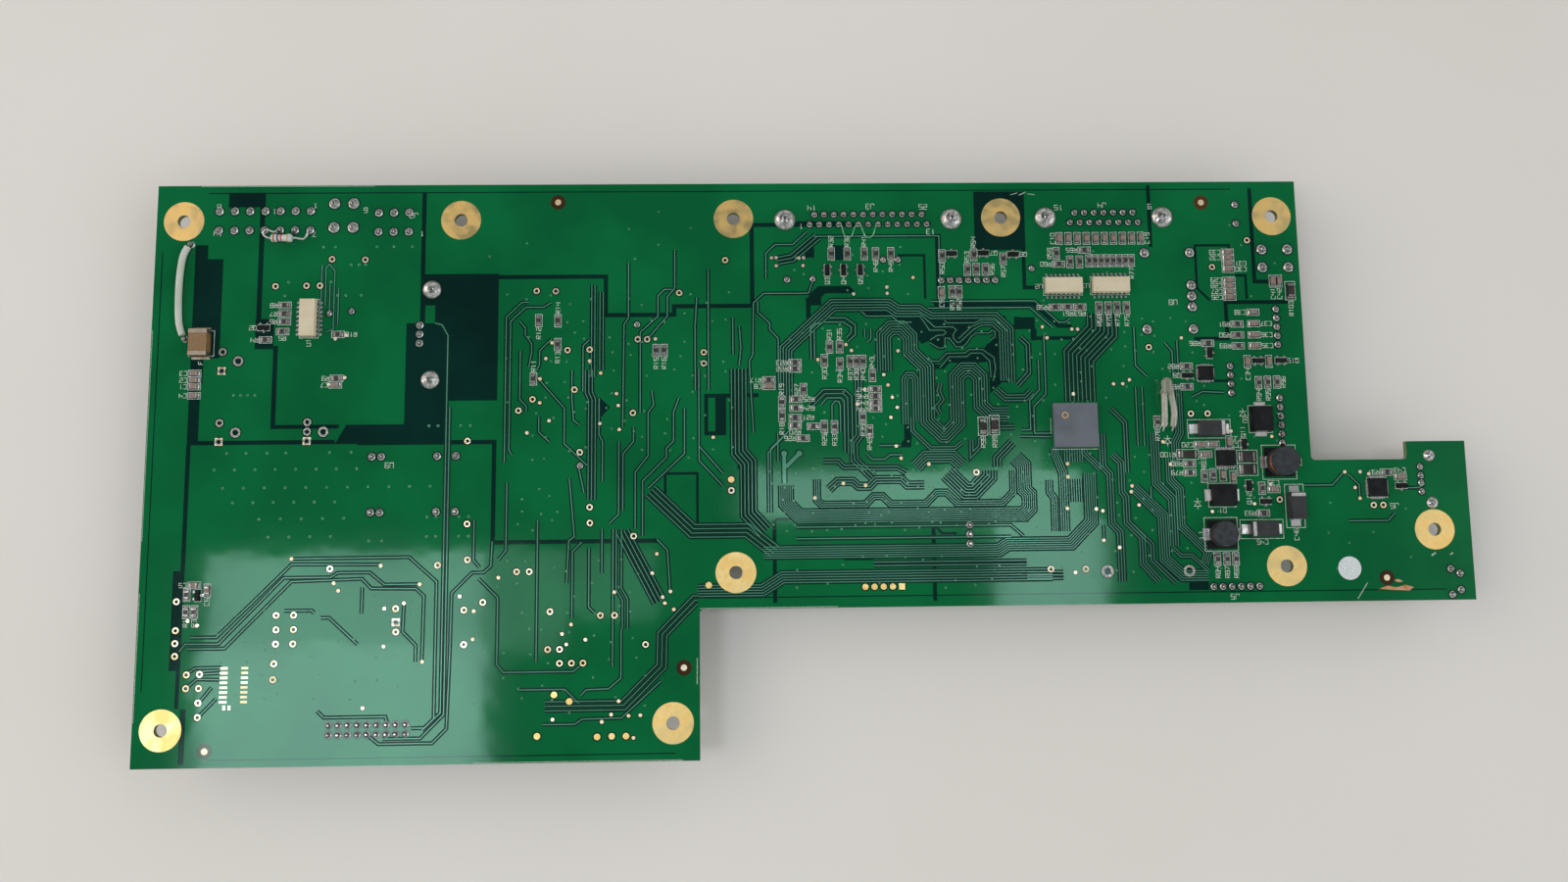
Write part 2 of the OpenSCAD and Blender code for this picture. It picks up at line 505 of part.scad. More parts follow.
// strip terminal: foot on the pad, bent up the end face
module strip_terminal(l, w, rise, foot) {
    t = 0.15;
    for (s = [0, 180]) rotate([0, 0, s]) translate([l / 2, w / 2, 0]) rotate([90, 0, 0])
        linear_extrude(w) polygon([[-0.9, 0], [foot, 0], [foot, t * 0.6], [t * 1.8, t * 2.4], [t, rise],
                                   [0, rise], [0, 0.1], [-0.9, 0.1]]);
}
module tantalum_bodies() {
    color("#2c2a2d") for (c = tantalums) on_top([c.x, c.y], c[2]) moulded_block(tantalum.x, tantalum.y, tantalum.z);
}
rectifiers = [[306.8, 90.6, 90], [294.9, 69.5, 0]];
rectifier = [6.9, 5.9, 2.3];
module rectifier_bodies() {
    color("#1b1b1e") for (c = rectifiers) on_top([c.x, c.y], c[2])
        moulded_block(rectifier.x, rectifier.y, rectifier.z);
}
module strip_terminals() {
    color("#d9dad8") {
        for (c = tantalums) on_top([c.x, c.y], c[2]) strip_terminal(tantalum.x, 2.6, 1.4, 1.9);
        for (c = rectifiers) on_top([c.x, c.y], c[2]) strip_terminal(rectifier.x, 3.1, 1.2, 1.3);
    }
}

/* ---- surface fuse: ceramic brick with tinned ends ---- */
fuse_at = [13.8, 114.2];
fuse = [7.3, 5, 2.7];
fuse_cap = 1.1;
module surface_fuse_body() {
    color("#9a7a5c") on_top(fuse_at, 90) block([fuse.x - 2 * fuse_cap, fuse.y - 0.1, fuse.z - 0.05]);
}
module surface_fuse_ends() {
    color("#c7b8a0") on_top(fuse_at, 90) for (s = [0, 180]) rotate([0, 0, s])
        translate([fuse.x / 2 - fuse_cap, fuse.y / 2, 0]) rotate([90, 0, 0]) linear_extrude(fuse.y)
            polygon([[0, 0], [fuse_cap + 0.8, 0], [fuse_cap + 0.25, 0.5], [fuse_cap, 1.6],
                     [fuse_cap, fuse.z], [0, fuse.z]]);
}

/* ---- wires: a tube swept along hand-set points ---- */
function unit(v) = v / norm(v);
function tangent(p, i) = unit(p[min(i + 1, len(p) - 1)] - p[max(i - 1, 0)]);
function side(t) = unit(cross(t, abs(t.z) > 0.9 ? [1, 0, 0] : [0, 0, 1]));
function smooth(p, n) = [for (i = [0:len(p) - 2]) for (k = [0:n - 1])
    let (a = p[max(i - 1, 0)], b = p[i], c = p[i + 1], d = p[min(i + 2, len(p) - 1)], t = k / n)
        0.5 * ((2 * b) + (c - a) * t + (2 * a - 5 * b + 4 * c - d) * t * t
               + (3 * b - a - 3 * c + d) * t * t * t), p[len(p) - 1]];
module tube(points, d, sides = 10, steps = 3) {
    path = smooth(points, steps);
    n = len(path);
    ring = [for (i = [0:n - 1]) let (t = tangent(path, i), u = side(t), v = cross(t, u))
        for (k = [0:sides - 1]) let (a = 360 * k / sides) path[i] + d / 2 * (cos(a) * u + sin(a) * v)];
    faces = concat([for (i = [0:n - 2]) for (k = [0:sides - 1]) let (m = (k + 1) % sides)
                       [i * sides + k, i * sides + m, (i + 1) * sides + m, (i + 1) * sides + k]],
                   [[for (k = [sides - 1:-1:0]) k]], [[for (k = [0:sides - 1]) (n - 1) * sides + k]]);
    polyhedron(points = ring, faces = faces);
}
// a point given from the board's corner and the height above the soldered side
function over(x, y, z) = [place([x, y]).x, place([x, y]).y, seat_z + z];

jumper_route = [over(9.4, 141.3, 1), over(8.2, 138.8, 1), over(7.6, 134.5, 1), over(7.4, 129.5, 1),
                over(7.5, 124, 1), over(7.9, 119.6, 1), over(8.9, 116.4, 1)];
module jumper_sleeve() { color("#c3d3c0") in_frame() tube(jumper_route, jumper_d, 12, 3); }
module jumper_ends() {
    color("#d6d2c8") {
        in_frame() at([9.86, 142.12]) translate([0, 0, seat_z]) joint(0.95, 1.2, 0.5);
        in_frame() at([9.27, 115.38]) translate([0, 0, seat_z]) joint(0.9, 1.2, 0.5);
    }
}
loop_routes = [
    [over(190.65, 146.95, 0.75), over(191, 145.6, 1), over(191.5, 143.7, 0.9), over(192.6, 142.95, 0.8),
     over(193.7, 143.6, 0.9), over(194.2, 145.2, 1), over(195, 146.9, 0.75)],
    [over(196.15, 146.9, 0.75), over(196.8, 144.7, 1), over(197.4, 143.4, 0.9), over(198.4, 142.9, 0.8),
     over(199.5, 143.5, 0.9), over(200.1, 145.1, 1), over(200.5, 146.9, 0.75)]];
module repair_wires() { color("#2f8f5e") in_frame() for (r = loop_routes) tube(r, 0.32, 8, 2); }

resistor_axis = [over(32.2, 143.6, 1.2), over(38, 143.6, 1.2)];
leaded_d = 2.3;
module leaded_resistor_body() {
    color("#a9bfc4") in_frame() translate(resistor_axis[0]) rotate([0, 90, 0]) rotate_extrude($fn = 32)
        polygon([[0, 0], [0.7, 0], [leaded_d / 2 - 0.1, 0.25], [leaded_d / 2, 0.7], [leaded_d / 2, 1.3],
                 [leaded_d / 2 - 0.22, 1.8], [leaded_d / 2 - 0.22, 4], [leaded_d / 2, 4.5],
                 [leaded_d / 2, 5.1], [leaded_d / 2 - 0.1, 5.55], [0.7, 5.8], [0, 5.8]]);
}
left_lead = [resistor_axis[0], over(31.9, 143.6, 1.2), over(31.6, 143.6, 1.2), over(31, 143.8, 1.2), over(30.2, 144.4, 1.2), over(30.1, 145.4, 1.3),
             over(31.2, 145.9, 1.4), over(32.7, 145.3, 1.3), over(33.7, 145.6, 1.25)];
right_lead = [resistor_axis[1], over(38.3, 143.6, 1.2), over(38.6, 143.6, 1.2), over(39.8, 143.4, 1.2), over(41.1, 143.3, 1.2), over(42, 144.3, 1.2),
              over(42.3, 145.6, 1.25)];
module leaded_resistor_leads() {
    color("#d3dcd4") in_frame() {
        tube(left_lead, 0.6, 8, 3);
        tube(right_lead, 0.6, 8, 3);
    }
}

/* ---- round indicator lamp laid flat, its leads in clear sleeves ---- */
lamp_base = over(280.4, 97.8, 1.9);  // where its leads come out
lamp_len = 4.5;
lamp_r = 1.5;
module indicator_lamp() {
    color("#c8cdc6") in_frame() translate(lamp_base + [0, lamp_len, 0]) rotate([90, 0, 0])
        rotate_extrude($fn = 36)
        polygon(concat([for (a = [0:15:90]) [lamp_r * sin(a), lamp_r * (1 - cos(a))]],
                       [[lamp_r, 3.6], [1.85, 3.6], [1.85, lamp_len], [0, lamp_len]]));
}
sleeve_d = 1.65;
sleeve_routes = [
    [over(279.55, 97.8, 1.9), over(279.55, 97.5, 1.9), over(279.55, 97.2, 1.9), over(279.6, 95, 1.5),
     over(279.65, 92.5, 1.2), over(279.6, 90.5, 1.05), over(279.35, 88.6, 1)],
    [over(281.5, 97.8, 1.9), over(281.5, 97.5, 1.9), over(281.5, 97.2, 1.9), over(282, 95, 1.5),
     over(282.3, 92.5, 1.2), over(282.2, 90.5, 1.05), over(281.9, 88.6, 1)]];
module lamp_sleeves() { color("#d5d8d0") in_frame() for (r = sleeve_routes) tube(r, sleeve_d, 12, 3); }
module lamp_leads() {
    color("#cfd0ce") for (r = sleeve_routes) {
        p = r[len(r) - 1];
        way = unit(p - r[len(r) - 2]);
        in_frame() tube([p + 0.02 * way, p + 0.3 * way, p + 0.5 * way, p + 1.1 * way + [0, 0, -0.5]], 0.5, 8, 2);
    }
}

/* ---- round paper label ---- */
label_at = [329.3, 49];
module round_label() { color("#eceef0") on_top(label_at) cylinder(d = 6.4, h = 0.08, $fn = 64); }

/* ======== connector side ======== */
// pin from the soldered face down through its hole
module pin_square(w, depth) { block([w, w, board_t + depth], -depth); }
module pin_round(d, depth) { translate([0, 0, -depth]) cylinder(d = d, h = board_t + depth, $fn = 20); }

power_wall = 9.6;
cell_w = 3.3;
cell_depth = 9.4;
module power_housing(k) {
    n = power_ways[k];
    len_x = (n - 1) * power_pitch + 5.4;
    in_frame() at(power_centres[k]) translate([0, 0, -power_h]) difference() {
        union() {
            block([len_x, power_wall, power_h - 0.3]);
            for (s = [-1, 1]) translate([s * (len_x / 2 - 2), 0, power_h - 0.3]) block([2, power_wall - 2, 0.3]);
            translate([0, power_wall / 2 + 0.7, 2]) block([5, 1.4, 6]);
        }
        for (i = [0:n - 1]) for (s = [-1, 1])
            translate([(i - (n - 1) / 2) * power_pitch, s * power_row / 2 * 0.78, 0]) {
                block([cell_w, cell_w, cell_depth + 1], -1);
            }
        for (i = [0:n - 1]) for (s = [-1, 1])
            translate([(i - (n - 1) / 2) * power_pitch, s * power_row / 2, 0])
                block([power_pin_w + 2 * gap, power_pin_w + 2 * gap, power_h + 2], -1);
    }
}
module power_header_housings() { color("#cdc9bd") for (k = [0, 1]) power_housing(k); }
module power_header_pins() {
    color("#c8bf9a") at_each(power_pins) pin_square(power_pin_w, power_h - 3.4);
}

// D connectors: moulded body on the board, flanged steel shell over it, contacts through both
dsub_mouth = [38.9, 24.4];           // inside width of each shell
dsub_mouth_h = [8.3, 7.5];           // inside height of each shell
shell_t = 0.45;
flange_half = [26.5, 19.6];
module d_outline(w, h) {
    cut = h * tan(10);
    polygon([[-w / 2, h / 2 - 1.2], [-w / 2 + 1, h / 2], [w / 2 - 1, h / 2], [w / 2, h / 2 - 1.2],
             [w / 2 - cut + 0.2, -h / 2 + 1], [w / 2 - cut - 1, -h / 2], [-w / 2 + cut + 1, -h / 2],
             [-w / 2 + cut - 0.2, -h / 2 + 1]]);
}
module dsub_frame(k) { in_frame() at(dsub_centres[k]) rotate([0, 0, 180]) children(); }
module dsub_contact_holes(k, d) {
    for (p = dsub_pins(k)) translate([p.x, p.y, -40]) cylinder(d = d, h = 60, $fn = 20);
}
// how far each insulator reaches below its flange
core_drop = [1.2, dsub_shell_h - 0.4];
module dsub_bodies() {
    color("#2a2b2e") for (k = [0, 1]) difference() {
        dsub_frame(k) {
            block([2 * flange_half[k] - 16, 10.8, dsub_flange_z - shell_t], -dsub_flange_z + shell_t);
            translate([0, 0, -dsub_flange_z - core_drop[k]]) linear_extrude(core_drop[k] + shell_t)
                d_outline(dsub_mouth[k] - 0.3, dsub_mouth_h[k] - 0.3);
        }
        in_frame() dsub_contact_holes(k, dsub_pin_d + 2 * gap);
    }
}
module dsub_shells() {
    color("#b9bdbf") for (k = [0, 1]) dsub_frame(k) {
        difference() {
            union() {
                block([2 * flange_half[k], 12.5, shell_t], -dsub_flange_z);
                translate([0, 0, -dsub_flange_z - dsub_shell_h]) linear_extrude(dsub_shell_h)
                    d_outline(dsub_mouth[k] + 2 * shell_t, dsub_mouth_h[k] + 2 * shell_t);
            }
            translate([0, 0, -40]) linear_extrude(60) d_outline(dsub_mouth[k], dsub_mouth_h[k]);
            for (s = [-1, 1]) translate([s * dsub_lock[k], 0, -40]) cylinder(d = 3.2, h = 60, $fn = 32);
        }
    }
}
// the plug has standing pins; the socket's contacts end inside its insulator
contact_depth = [dsub_flange_z + dsub_shell_h - 0.8, dsub_flange_z + 2];
module dsub_contacts() {
    color("#d3b057") for (k = [0, 1]) at_each(dsub_pins(k)) pin_round(dsub_pin_d, contact_depth[k]);
}
post_af = 4.75;
post_h = min(5, dsub_shell_h - 1);   // jack posts end short of the shells' mouths
module dsub_posts() {
    color("#a8aaa6") at_each(dsub_locks) {
        translate([0, 0, -dsub_flange_z + shell_t]) cylinder(d = 3, h = dsub_flange_z - shell_t + board_t, $fn = 32);
        translate([0, 0, -dsub_flange_z + shell_t]) cylinder(d = 6, h = 4.6, $fn = 32);
        difference() {
            union() {
                translate([0, 0, -dsub_flange_z]) cylinder(d = 3, h = shell_t, $fn = 32);
                translate([0, 0, -dsub_flange_z - post_h])
                    cylinder(d = post_af / cos(30), h = post_h, $fn = 6);
            }
            translate([0, 0, -dsub_flange_z - 6]) cylinder(d = 2.4, h = 5.5, $fn = 32);
        }
    }
}

// single-row pin headers with notched insulators
header_body_h = 2.5;
module header_body(n) {
    for (i = [0:n - 1]) translate([(i - (n - 1) / 2) * header_pitch, 0, -header_body_h]) difference() {
        linear_extrude(header_body_h) polygon([
            [-header_pitch / 2, -0.8], [-0.8, -header_pitch / 2], [0.8, -header_pitch / 2],
            [header_pitch / 2, -0.8], [header_pitch / 2, 0.8], [0.8, header_pitch / 2],
            [-0.8, header_pitch / 2], [-header_pitch / 2, 0.8]]);
        block([header_pin_w + 2 * gap, header_pin_w + 2 * gap, header_body_h + 2], -1);
    }
}
module pin_header_bodies() {
    color("#1f2023") {
        for (h = headers) in_frame() at(h[0], h[2]) header_body(h[1]);
        in_frame() at(wide_pair) translate([0, 0, -header_body_h]) difference() {
            block([4, wide_pair_pitch + 4, header_body_h]);
            for (s = [-1, 1]) translate([0, s * wide_pair_pitch / 2, 0])
                block([header_pin_w + 2 * gap, header_pin_w + 2 * gap, header_body_h + 2], -1);
        }
    }
}
module pin_header_pins() {
    color("#d8c48a") at_each(header_pins) pin_square(header_pin_w, header_post);
    color("#d8c48a") at_each(link_pins) pin_square(header_pin_w, link_h * 0.5);
}
module link_socket() {
    color("#1c1d20") in_frame() at(link_centre) translate([0, 0, -link_h]) difference() {
        block([link_ways * header_pitch + 0.2, 2 * header_pitch, link_h]);
        for (i = [0:link_ways - 1]) for (s = [-1, 1])
            translate([(i - (link_ways - 1) / 2) * header_pitch, s * header_pitch / 2, 0]) {
                block([header_pin_w + 0.3, header_pin_w + 0.3, link_h + 2], -1);
                block([1.3, 1.3, 1.4], -1);
            }
    }
}

/* ---- USB receptacle: folded steel shell, tongue and four contacts; its mouth is at the right edge ---- */
usb_t = 0.3;
usb_len = 13.8;
usb_top = -0.3;
usb_mid_z = usb_top - usb_t - usb_h / 2;
module usb_frame() { in_frame() translate([board_w - usb_len, usb_y, 0]) children(); }
module usb_shell() {
    color("#c2c5c6") {
        usb_frame() difference() {
            translate([0, -usb_w / 2 - usb_t, usb_mid_z - usb_h / 2 - usb_t])
                cube([usb_len, usb_w + 2 * usb_t, usb_h + 2 * usb_t]);
            translate([usb_t, -usb_w / 2, usb_mid_z - usb_h / 2]) cube([usb_len, usb_w, usb_h]);
            for (s = [-1, 1]) translate([5.5, s * 3.2 - 0.8, usb_mid_z - usb_h / 2 - 1]) cube([4.5, 0.25, 2]);
            translate([-1, -4.6, usb_mid_z - usb_h / 2 - 1]) cube([2, 9.2, 5]);
            translate([-1, -4.6, usb_top - 1]) cube([2.6, 9.2, 2]);
        }
        in_frame() for (s = [-1, 1]) translate([usb_x - 1, usb_y + s * (usb_w / 2 + usb_t / 2) - 0.15, 0])
            translate([0, 0, usb_top - 0.01]) cube([2, usb_t, board_t - usb_top + 0.01 - 0.1]);
    }
}
module usb_tongue() {
    color("#e6e7e4") usb_frame() {
        translate([usb_t + 0.05, -usb_w / 2 + 0.1, usb_mid_z - usb_h / 2 + 0.05])
            cube([3.2, usb_w - 0.2, usb_h - 0.1]);
        translate([usb_t + 3.25, -5.55, usb_mid_z + 0.35]) cube([8.6, 11.1, 1.84]);
    }
}
module usb_contacts() {
    color("#d6b45e") {
        in_frame() for (p = usb_pins) translate([p.x, p.y, 0])
            block([0.5, 0.6, board_t - usb_top + usb_t + 0.05], usb_top - usb_t - 0.05);
        usb_frame() for (y = [-3.5, -1, 1, 3.5])
            translate([usb_t + 3.4, y - 0.5, usb_mid_z + 0.05]) cube([7.2, 1, 0.28]);
    }
}

/* ---- side-acting push switch; the button slides into the body ---- */
switch_len = 4.3;
switch_front = switch_x + 1.7;
button_reach = 2;
button_z = -3.1;
module switch_body() {
    color("#2b2c2f") in_frame() translate([switch_front - switch_len, switch_y, 0]) difference() {
        translate([0, -3, -6.1]) cube([switch_len, 6, 6]);
        translate([switch_len - 1.6, 0, button_z]) rotate([0, 90, 0])
            cylinder(d = button_d + 0.2, h = 5, $fn = 48);
    }
}
module switch_terminals() {
    color("#c0c2c0") in_frame() {
        for (p = switch_pins) translate([p.x, p.y, 0]) block([0.3, 0.7, board_t + 0.1], -0.1);
        for (s = [-1, 1]) {
            translate([switch_front - switch_len, switch_y + s * 3.3 - 0.25, -5.6]) cube([3.4, 0.5, 5.5]);
        }
        translate([switch_front - switch_len - 0.35, switch_y - 3.55, -5.6]) cube([0.35, 7.1, 5.5]);
    }
}
module switch_button() {
    color("#101114") in_frame() translate([switch_front - 1.6 + button_travel + 0.1, switch_y, button_z])
        rotate([0, 90, 0]) rotate_extrude($fn = 48) polygon([
            [0, 0], [button_d / 2, 0], [button_d / 2, 1.5 + button_reach - 0.5 - button_travel],
            [button_d / 2 - 0.3, 1.5 + button_reach - 0.2 - button_travel],
            [0, 1.5 + button_reach - 0.2 - button_travel]]);
}

/* ---- low finned heat sink with the power transistor lying in its channel ---- */
sink_l = 35;
sink_w = 19.4;
sink_lift = 1;
sink_base = 2;
sink_h = stand_h - 0.5;
fin_t = 1.1;
fins_per_side = 4;
channel_w = 13;
module heat_sink() {
    color("#3a3b3e") in_frame() at(sink_centre) difference() {
        union() {
            block([sink_w, sink_l, sink_base], -sink_lift - sink_base);
            for (s = [-1, 1]) for (i = [0:fins_per_side - 1])
                translate([0, s * (channel_w / 2 + fin_t / 2 + i * (sink_l / 2 - channel_w / 2 - fin_t) / (fins_per_side - 1)), 0])
                    block([sink_w, fin_t, sink_h - sink_lift - sink_base + 0.01], -sink_h);
            for (s = [-1, 1]) translate([-8.4, s * 12.7, -sink_lift]) cylinder(d = 2.2, h = sink_lift + board_t, $fn = 24);
        }
        translate([screw_x, 0, -20]) cylinder(d = screw_d + 0.08, h = 30, $fn = 32);
    }
}
tab_t = 1.3;
screw_d = 3;
screw_x = 5.7;
module on_sink() { in_frame() at(sink_centre) translate([0, 0, -sink_lift - sink_base]) children(); }
module power_transistor() {
    color("#222326") on_sink() translate([-7.2, -5.1, -4.5]) cube([9.1, 10.2, 4.5 - tab_t]);
}
module power_transistor_tab() {
    color("#b8b9b5") on_sink() difference() {
        translate([-7.2, -5.1, -tab_t]) cube([15.6, 10.2, tab_t]);
        translate([screw_x, 0, -5]) cylinder(d = screw_d + 0.5, h = 9, $fn = 32);
    }
}
module sink_screw() {
    color("#a9abaa") on_sink() translate([screw_x, 0, -tab_t]) {
        translate([0, 0, -1.9]) difference() {
            rotate_extrude($fn = 48) polygon([[0, 0], [2.1, 0], [2.6, 0.35], [2.8, 0.9], [2.8, 1.9], [0, 1.9]]);
            for (a = [0, 90]) rotate([0, 0, a]) block([3.2, 0.7, 2], -1);
        }
        cylinder(d = screw_d, h = tab_t + sink_base + 0.6, $fn = 32);
    }
}
module power_transistor_leads() {
    color("#c6c8c6") in_frame() for (p = q_pins) translate([p.x, p.y, 0]) {
        z = -sink_lift - sink_base - tab_t - 1.2;
        translate([-0.25, -0.4, z]) cube([0.5, 0.8, board_t - z]);
        translate([0.25, -0.4, z]) cube([place(sink_centre).x - 7.2 - p.x - 0.25, 0.8, 0.5]);
    }
}

/* ---- potted converters ---- */
brick_a_size = [31.8, 20.3, 10.2];
brick_b_size = [18.4, 27.6, 8.5];
module brick(size) {
    difference() {
        block([size.x, size.y, size.z], -size.z - 0.5);
        block([size.x - 1.6, size.y - 1.6, 0.4], -size.z - 0.5 - 0.1);
    }
    for (sx = [-1, 1]) for (sy = [-1, 1])
        translate([sx * (size.x / 2 - 1.2), sy * (size.y / 2 - 1.2), 0]) block([1.6, 1.6, 0.5], -0.5);
}
module converter_cases() {
    color("#1a1b1d") {
        in_frame() at(brick_a) brick(brick_a_size);
        in_frame() at(brick_b) brick(brick_b_size);
    }
}
module converter_pins() {
    color("#cdb87a") {
        at_each(brick_a_pins) pin_round(0.9, 0.5);
        at_each(brick_b_pins) pin_round(1.1, 0.5);
    }
}

/* ---- line chokes: ring core on a base, two windings ---- */
choke_base = [12.6, 12.6, 1.6];
ring_r = 5.3;
ring_in = 2.9;
ring_h = 6.4;
turn_w = 0.9;
module choke_solid(c) {
    in_frame() at(c) {
        block(choke_base, -choke_base.z);
        translate([0, 0, -choke_base.z - 1.1 - ring_h]) difference() {
            cylinder(r = ring_r, h = ring_h, $fn = 48);
            translate([0, 0, -1]) cylinder(r = ring_in, h = ring_h + 2, $fn = 40);
        }
        for (a = [90, 270]) rotate([0, 0, a]) translate([(ring_r + ring_in) / 2, 0, -choke_base.z - 1.1]) block([1.6, 2, 1.1]);
    }
}
module choke_turn() {
    inner = [ring_r - ring_in + 0.2, ring_h + 0.2];
    rotate([90, 0, 0]) translate([0, 0, -turn_w / 2]) linear_extrude(turn_w) difference() {
        square(inner + 2 * [turn_w * 0.8, turn_w * 0.8], center = true);
        square(inner, center = true);
    }
}
module line_chokes() { color("#33363a") for (c = chokes) choke_solid(c); }
module line_choke_windings() {
    color("#b4632f") for (c = chokes) in_frame() at(c) for (s = [0, 180]) for (i = [-2:2])
        rotate([0, 0, s + i * 26]) translate([(ring_r + ring_in) / 2, 0, -choke_base.z - 1.1 - ring_h / 2])
            choke_turn();
    color("#c9b78c") {
        at_each(concat(choke_pins, choke_b_pins)) translate([0, 0, 0]) cylinder(d = choke_pin_d, h = board_t, $fn = 20);
    }
}

board();
mounting_lands();
hole_lands();
test_pads();
solder_joints();
solder_domes();
chip_resistor_bodies();
chip_capacitor_bodies();
chip_ends();
large_chip_bodies();
transistor_bodies();
transistor_leads();
coupler_bodies();
coupler_leads();
processor_body();
processor_base();
controller_bodies();
controller_leads();
drum_cores();
drum_windings();
drum_bases();
drum_terminals();
tantalum_bodies();
rectifier_bodies();
strip_terminals();
surface_fuse_body();
surface_fuse_ends();
leaded_resistor_body();
leaded_resistor_leads();
jumper_sleeve();
jumper_ends();
repair_wires();
indicator_lamp();
lamp_sleeves();
lamp_leads();
round_label();
power_header_housings();
power_header_pins();
dsub_bodies();
dsub_shells();
dsub_contacts();
dsub_posts();
pin_header_bodies();
pin_header_pins();
link_socket();
usb_shell();
usb_tongue();
usb_contacts();
switch_body();
switch_terminals();
switch_button();
heat_sink();
power_transistor();
power_transistor_tab();
sink_screw();
power_transistor_leads();
converter_cases();
converter_pins();
line_chokes();
line_choke_windings();
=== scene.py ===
import json
import math
import random

import bpy
from mathutils import Matrix, Vector


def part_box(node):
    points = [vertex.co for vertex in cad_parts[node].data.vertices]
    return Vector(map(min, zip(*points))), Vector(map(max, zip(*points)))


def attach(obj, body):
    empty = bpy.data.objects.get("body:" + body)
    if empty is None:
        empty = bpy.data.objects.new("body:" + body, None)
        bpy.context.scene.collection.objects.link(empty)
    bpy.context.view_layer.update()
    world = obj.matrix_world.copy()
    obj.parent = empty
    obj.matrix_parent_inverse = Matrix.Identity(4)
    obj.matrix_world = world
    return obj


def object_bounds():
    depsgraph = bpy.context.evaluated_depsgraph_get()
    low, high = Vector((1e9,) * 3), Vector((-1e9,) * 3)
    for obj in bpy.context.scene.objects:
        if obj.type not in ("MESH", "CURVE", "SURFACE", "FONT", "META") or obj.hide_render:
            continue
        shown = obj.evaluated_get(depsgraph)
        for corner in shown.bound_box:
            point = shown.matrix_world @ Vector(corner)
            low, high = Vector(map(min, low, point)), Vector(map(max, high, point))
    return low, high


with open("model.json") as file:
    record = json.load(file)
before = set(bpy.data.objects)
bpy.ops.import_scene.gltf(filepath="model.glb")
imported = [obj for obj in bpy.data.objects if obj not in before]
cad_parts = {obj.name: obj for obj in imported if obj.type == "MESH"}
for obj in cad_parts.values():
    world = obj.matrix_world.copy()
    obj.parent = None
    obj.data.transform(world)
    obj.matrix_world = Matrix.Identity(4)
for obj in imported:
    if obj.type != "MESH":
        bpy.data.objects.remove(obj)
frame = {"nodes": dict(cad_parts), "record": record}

cad_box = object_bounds()
chance = random.Random(7)

MM = 0.001
board_low, board_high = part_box("board")
BOARD_T = (board_high.z - board_low.z) / MM


def on_board(x, y, lift=0.0):
    """A point in millimetres from the board's lower left corner, lift above its soldered face."""
    return Vector((board_low.x + x * MM, board_low.y + y * MM, board_high.z + lift * MM))


# ---------------- material helpers


def colour(code):
    """An sRGB hex code as the linear colour that a shader socket takes."""
    parts = [int(code[i:i + 2], 16) / 255 for i in (0, 2, 4)]
    return [c / 12.92 if c <= 0.04045 else ((c + 0.055) / 1.055) ** 2.4 for c in parts] + [1.0]


def per(size_mm):
    """The texture scale at which one cell of a pattern is this many millimetres wide."""
    return 1 / (size_mm * MM)


def feed(tree, socket, value):
    """Gives a socket a link, a hex colour or a plain value."""
    if isinstance(value, bpy.types.NodeSocket):
        tree.links.new(value, socket)
    else:
        socket.default_value = colour(value) if isinstance(value, str) else value


def add(tree, kind, inputs, out=0, **settings):
    """Adds a shader node with its settings and inputs, and returns the output asked for."""
    made = tree.nodes.new("ShaderNode" + kind)
    for name, value in settings.items():
        setattr(made, name, value)
    by_identifier = {s.identifier: s for s in made.inputs}
    for name, value in inputs.items():
        feed(tree, by_identifier.get(name) or made.inputs[name], value)
    return made.outputs[out]


def start(name):
    """A new material, its tree, its surface shader and the place on the object in metres."""
    material = bpy.data.materials.new(name)
    material.use_nodes = True
    tree = material.node_tree
    where = add(tree, "TexCoord", {}, out="Object")
    return material, tree, tree.nodes["Principled BSDF"], where


def dress(tree, shader, **values):
    """Sets the surface shader's sockets by their names, written with underscores."""
    for name, value in values.items():
        feed(tree, shader.inputs[name.replace("_", " ")], value)


def mottle(tree, where, pale, deep, cell_mm):
    """Two tones of one colour in soft patches, and the patches' own 0 to 1 value."""
    noise = add(tree, "TexNoise", {"Vector": where, "Scale": per(cell_mm), "Detail": 3.0})
    patch = add(tree, "MapRange", {"Value": noise, "From Min": 0.38, "From Max": 0.62})
    tone = add(tree, "Mix", {"Factor_Float": patch, "A_Color": pale, "B_Color": deep},
               out=2, data_type="RGBA")
    return tone, patch


def grain(tree, where, cell_mm, relief_mm, stretch=None, turned=0.0):
    """A fine random relief, as a normal. A stretch draws it out into streaks."""
    if stretch:
        where = add(tree, "Mapping", {"Vector": where, "Rotation": (0, 0, turned), "Scale": stretch})
    height = add(tree, "TexNoise", {"Vector": where, "Scale": per(cell_mm), "Detail": 2.0})
    return add(tree, "Bump", {"Height": height, "Distance": relief_mm * MM})


def by_side(tree, upright, flat):
    """One colour on upright faces, and another on those that look up or down."""
    facing = add(tree, "NewGeometry", {}, out="True Normal")
    rise = add(tree, "SeparateXYZ", {"Vector": facing}, out="Z")
    size = add(tree, "Math", {"Value": rise}, operation="ABSOLUTE")
    share = add(tree, "MapRange", {"Value": size, "From Min": 0.55, "From Max": 0.65})
    return add(tree, "Mix", {"Factor_Float": share, "A_Color": upright, "B_Color": flat},
               out=2, data_type="RGBA")


def surface(name, pale, deep, patch_mm, smooth, rough, grained=None, cut_side=None, **values):
    """A material in two tones of one colour, in patches that also take its roughness from
    smooth to rough. It can have a grain, and another colour on its upright sides."""
    material, tree, shader, where = start(name)
    tone, patch = mottle(tree, where, pale, deep, patch_mm)
    if cut_side:
        tone = by_side(tree, cut_side, tone)
    if grained:
        values["Normal"] = grain(tree, where, *grained)
    dress(tree, shader, Base_Color=tone,
          Roughness=add(tree, "MapRange", {"Value": patch, "To Min": smooth, "To Max": rough}),
          **values)
    return material


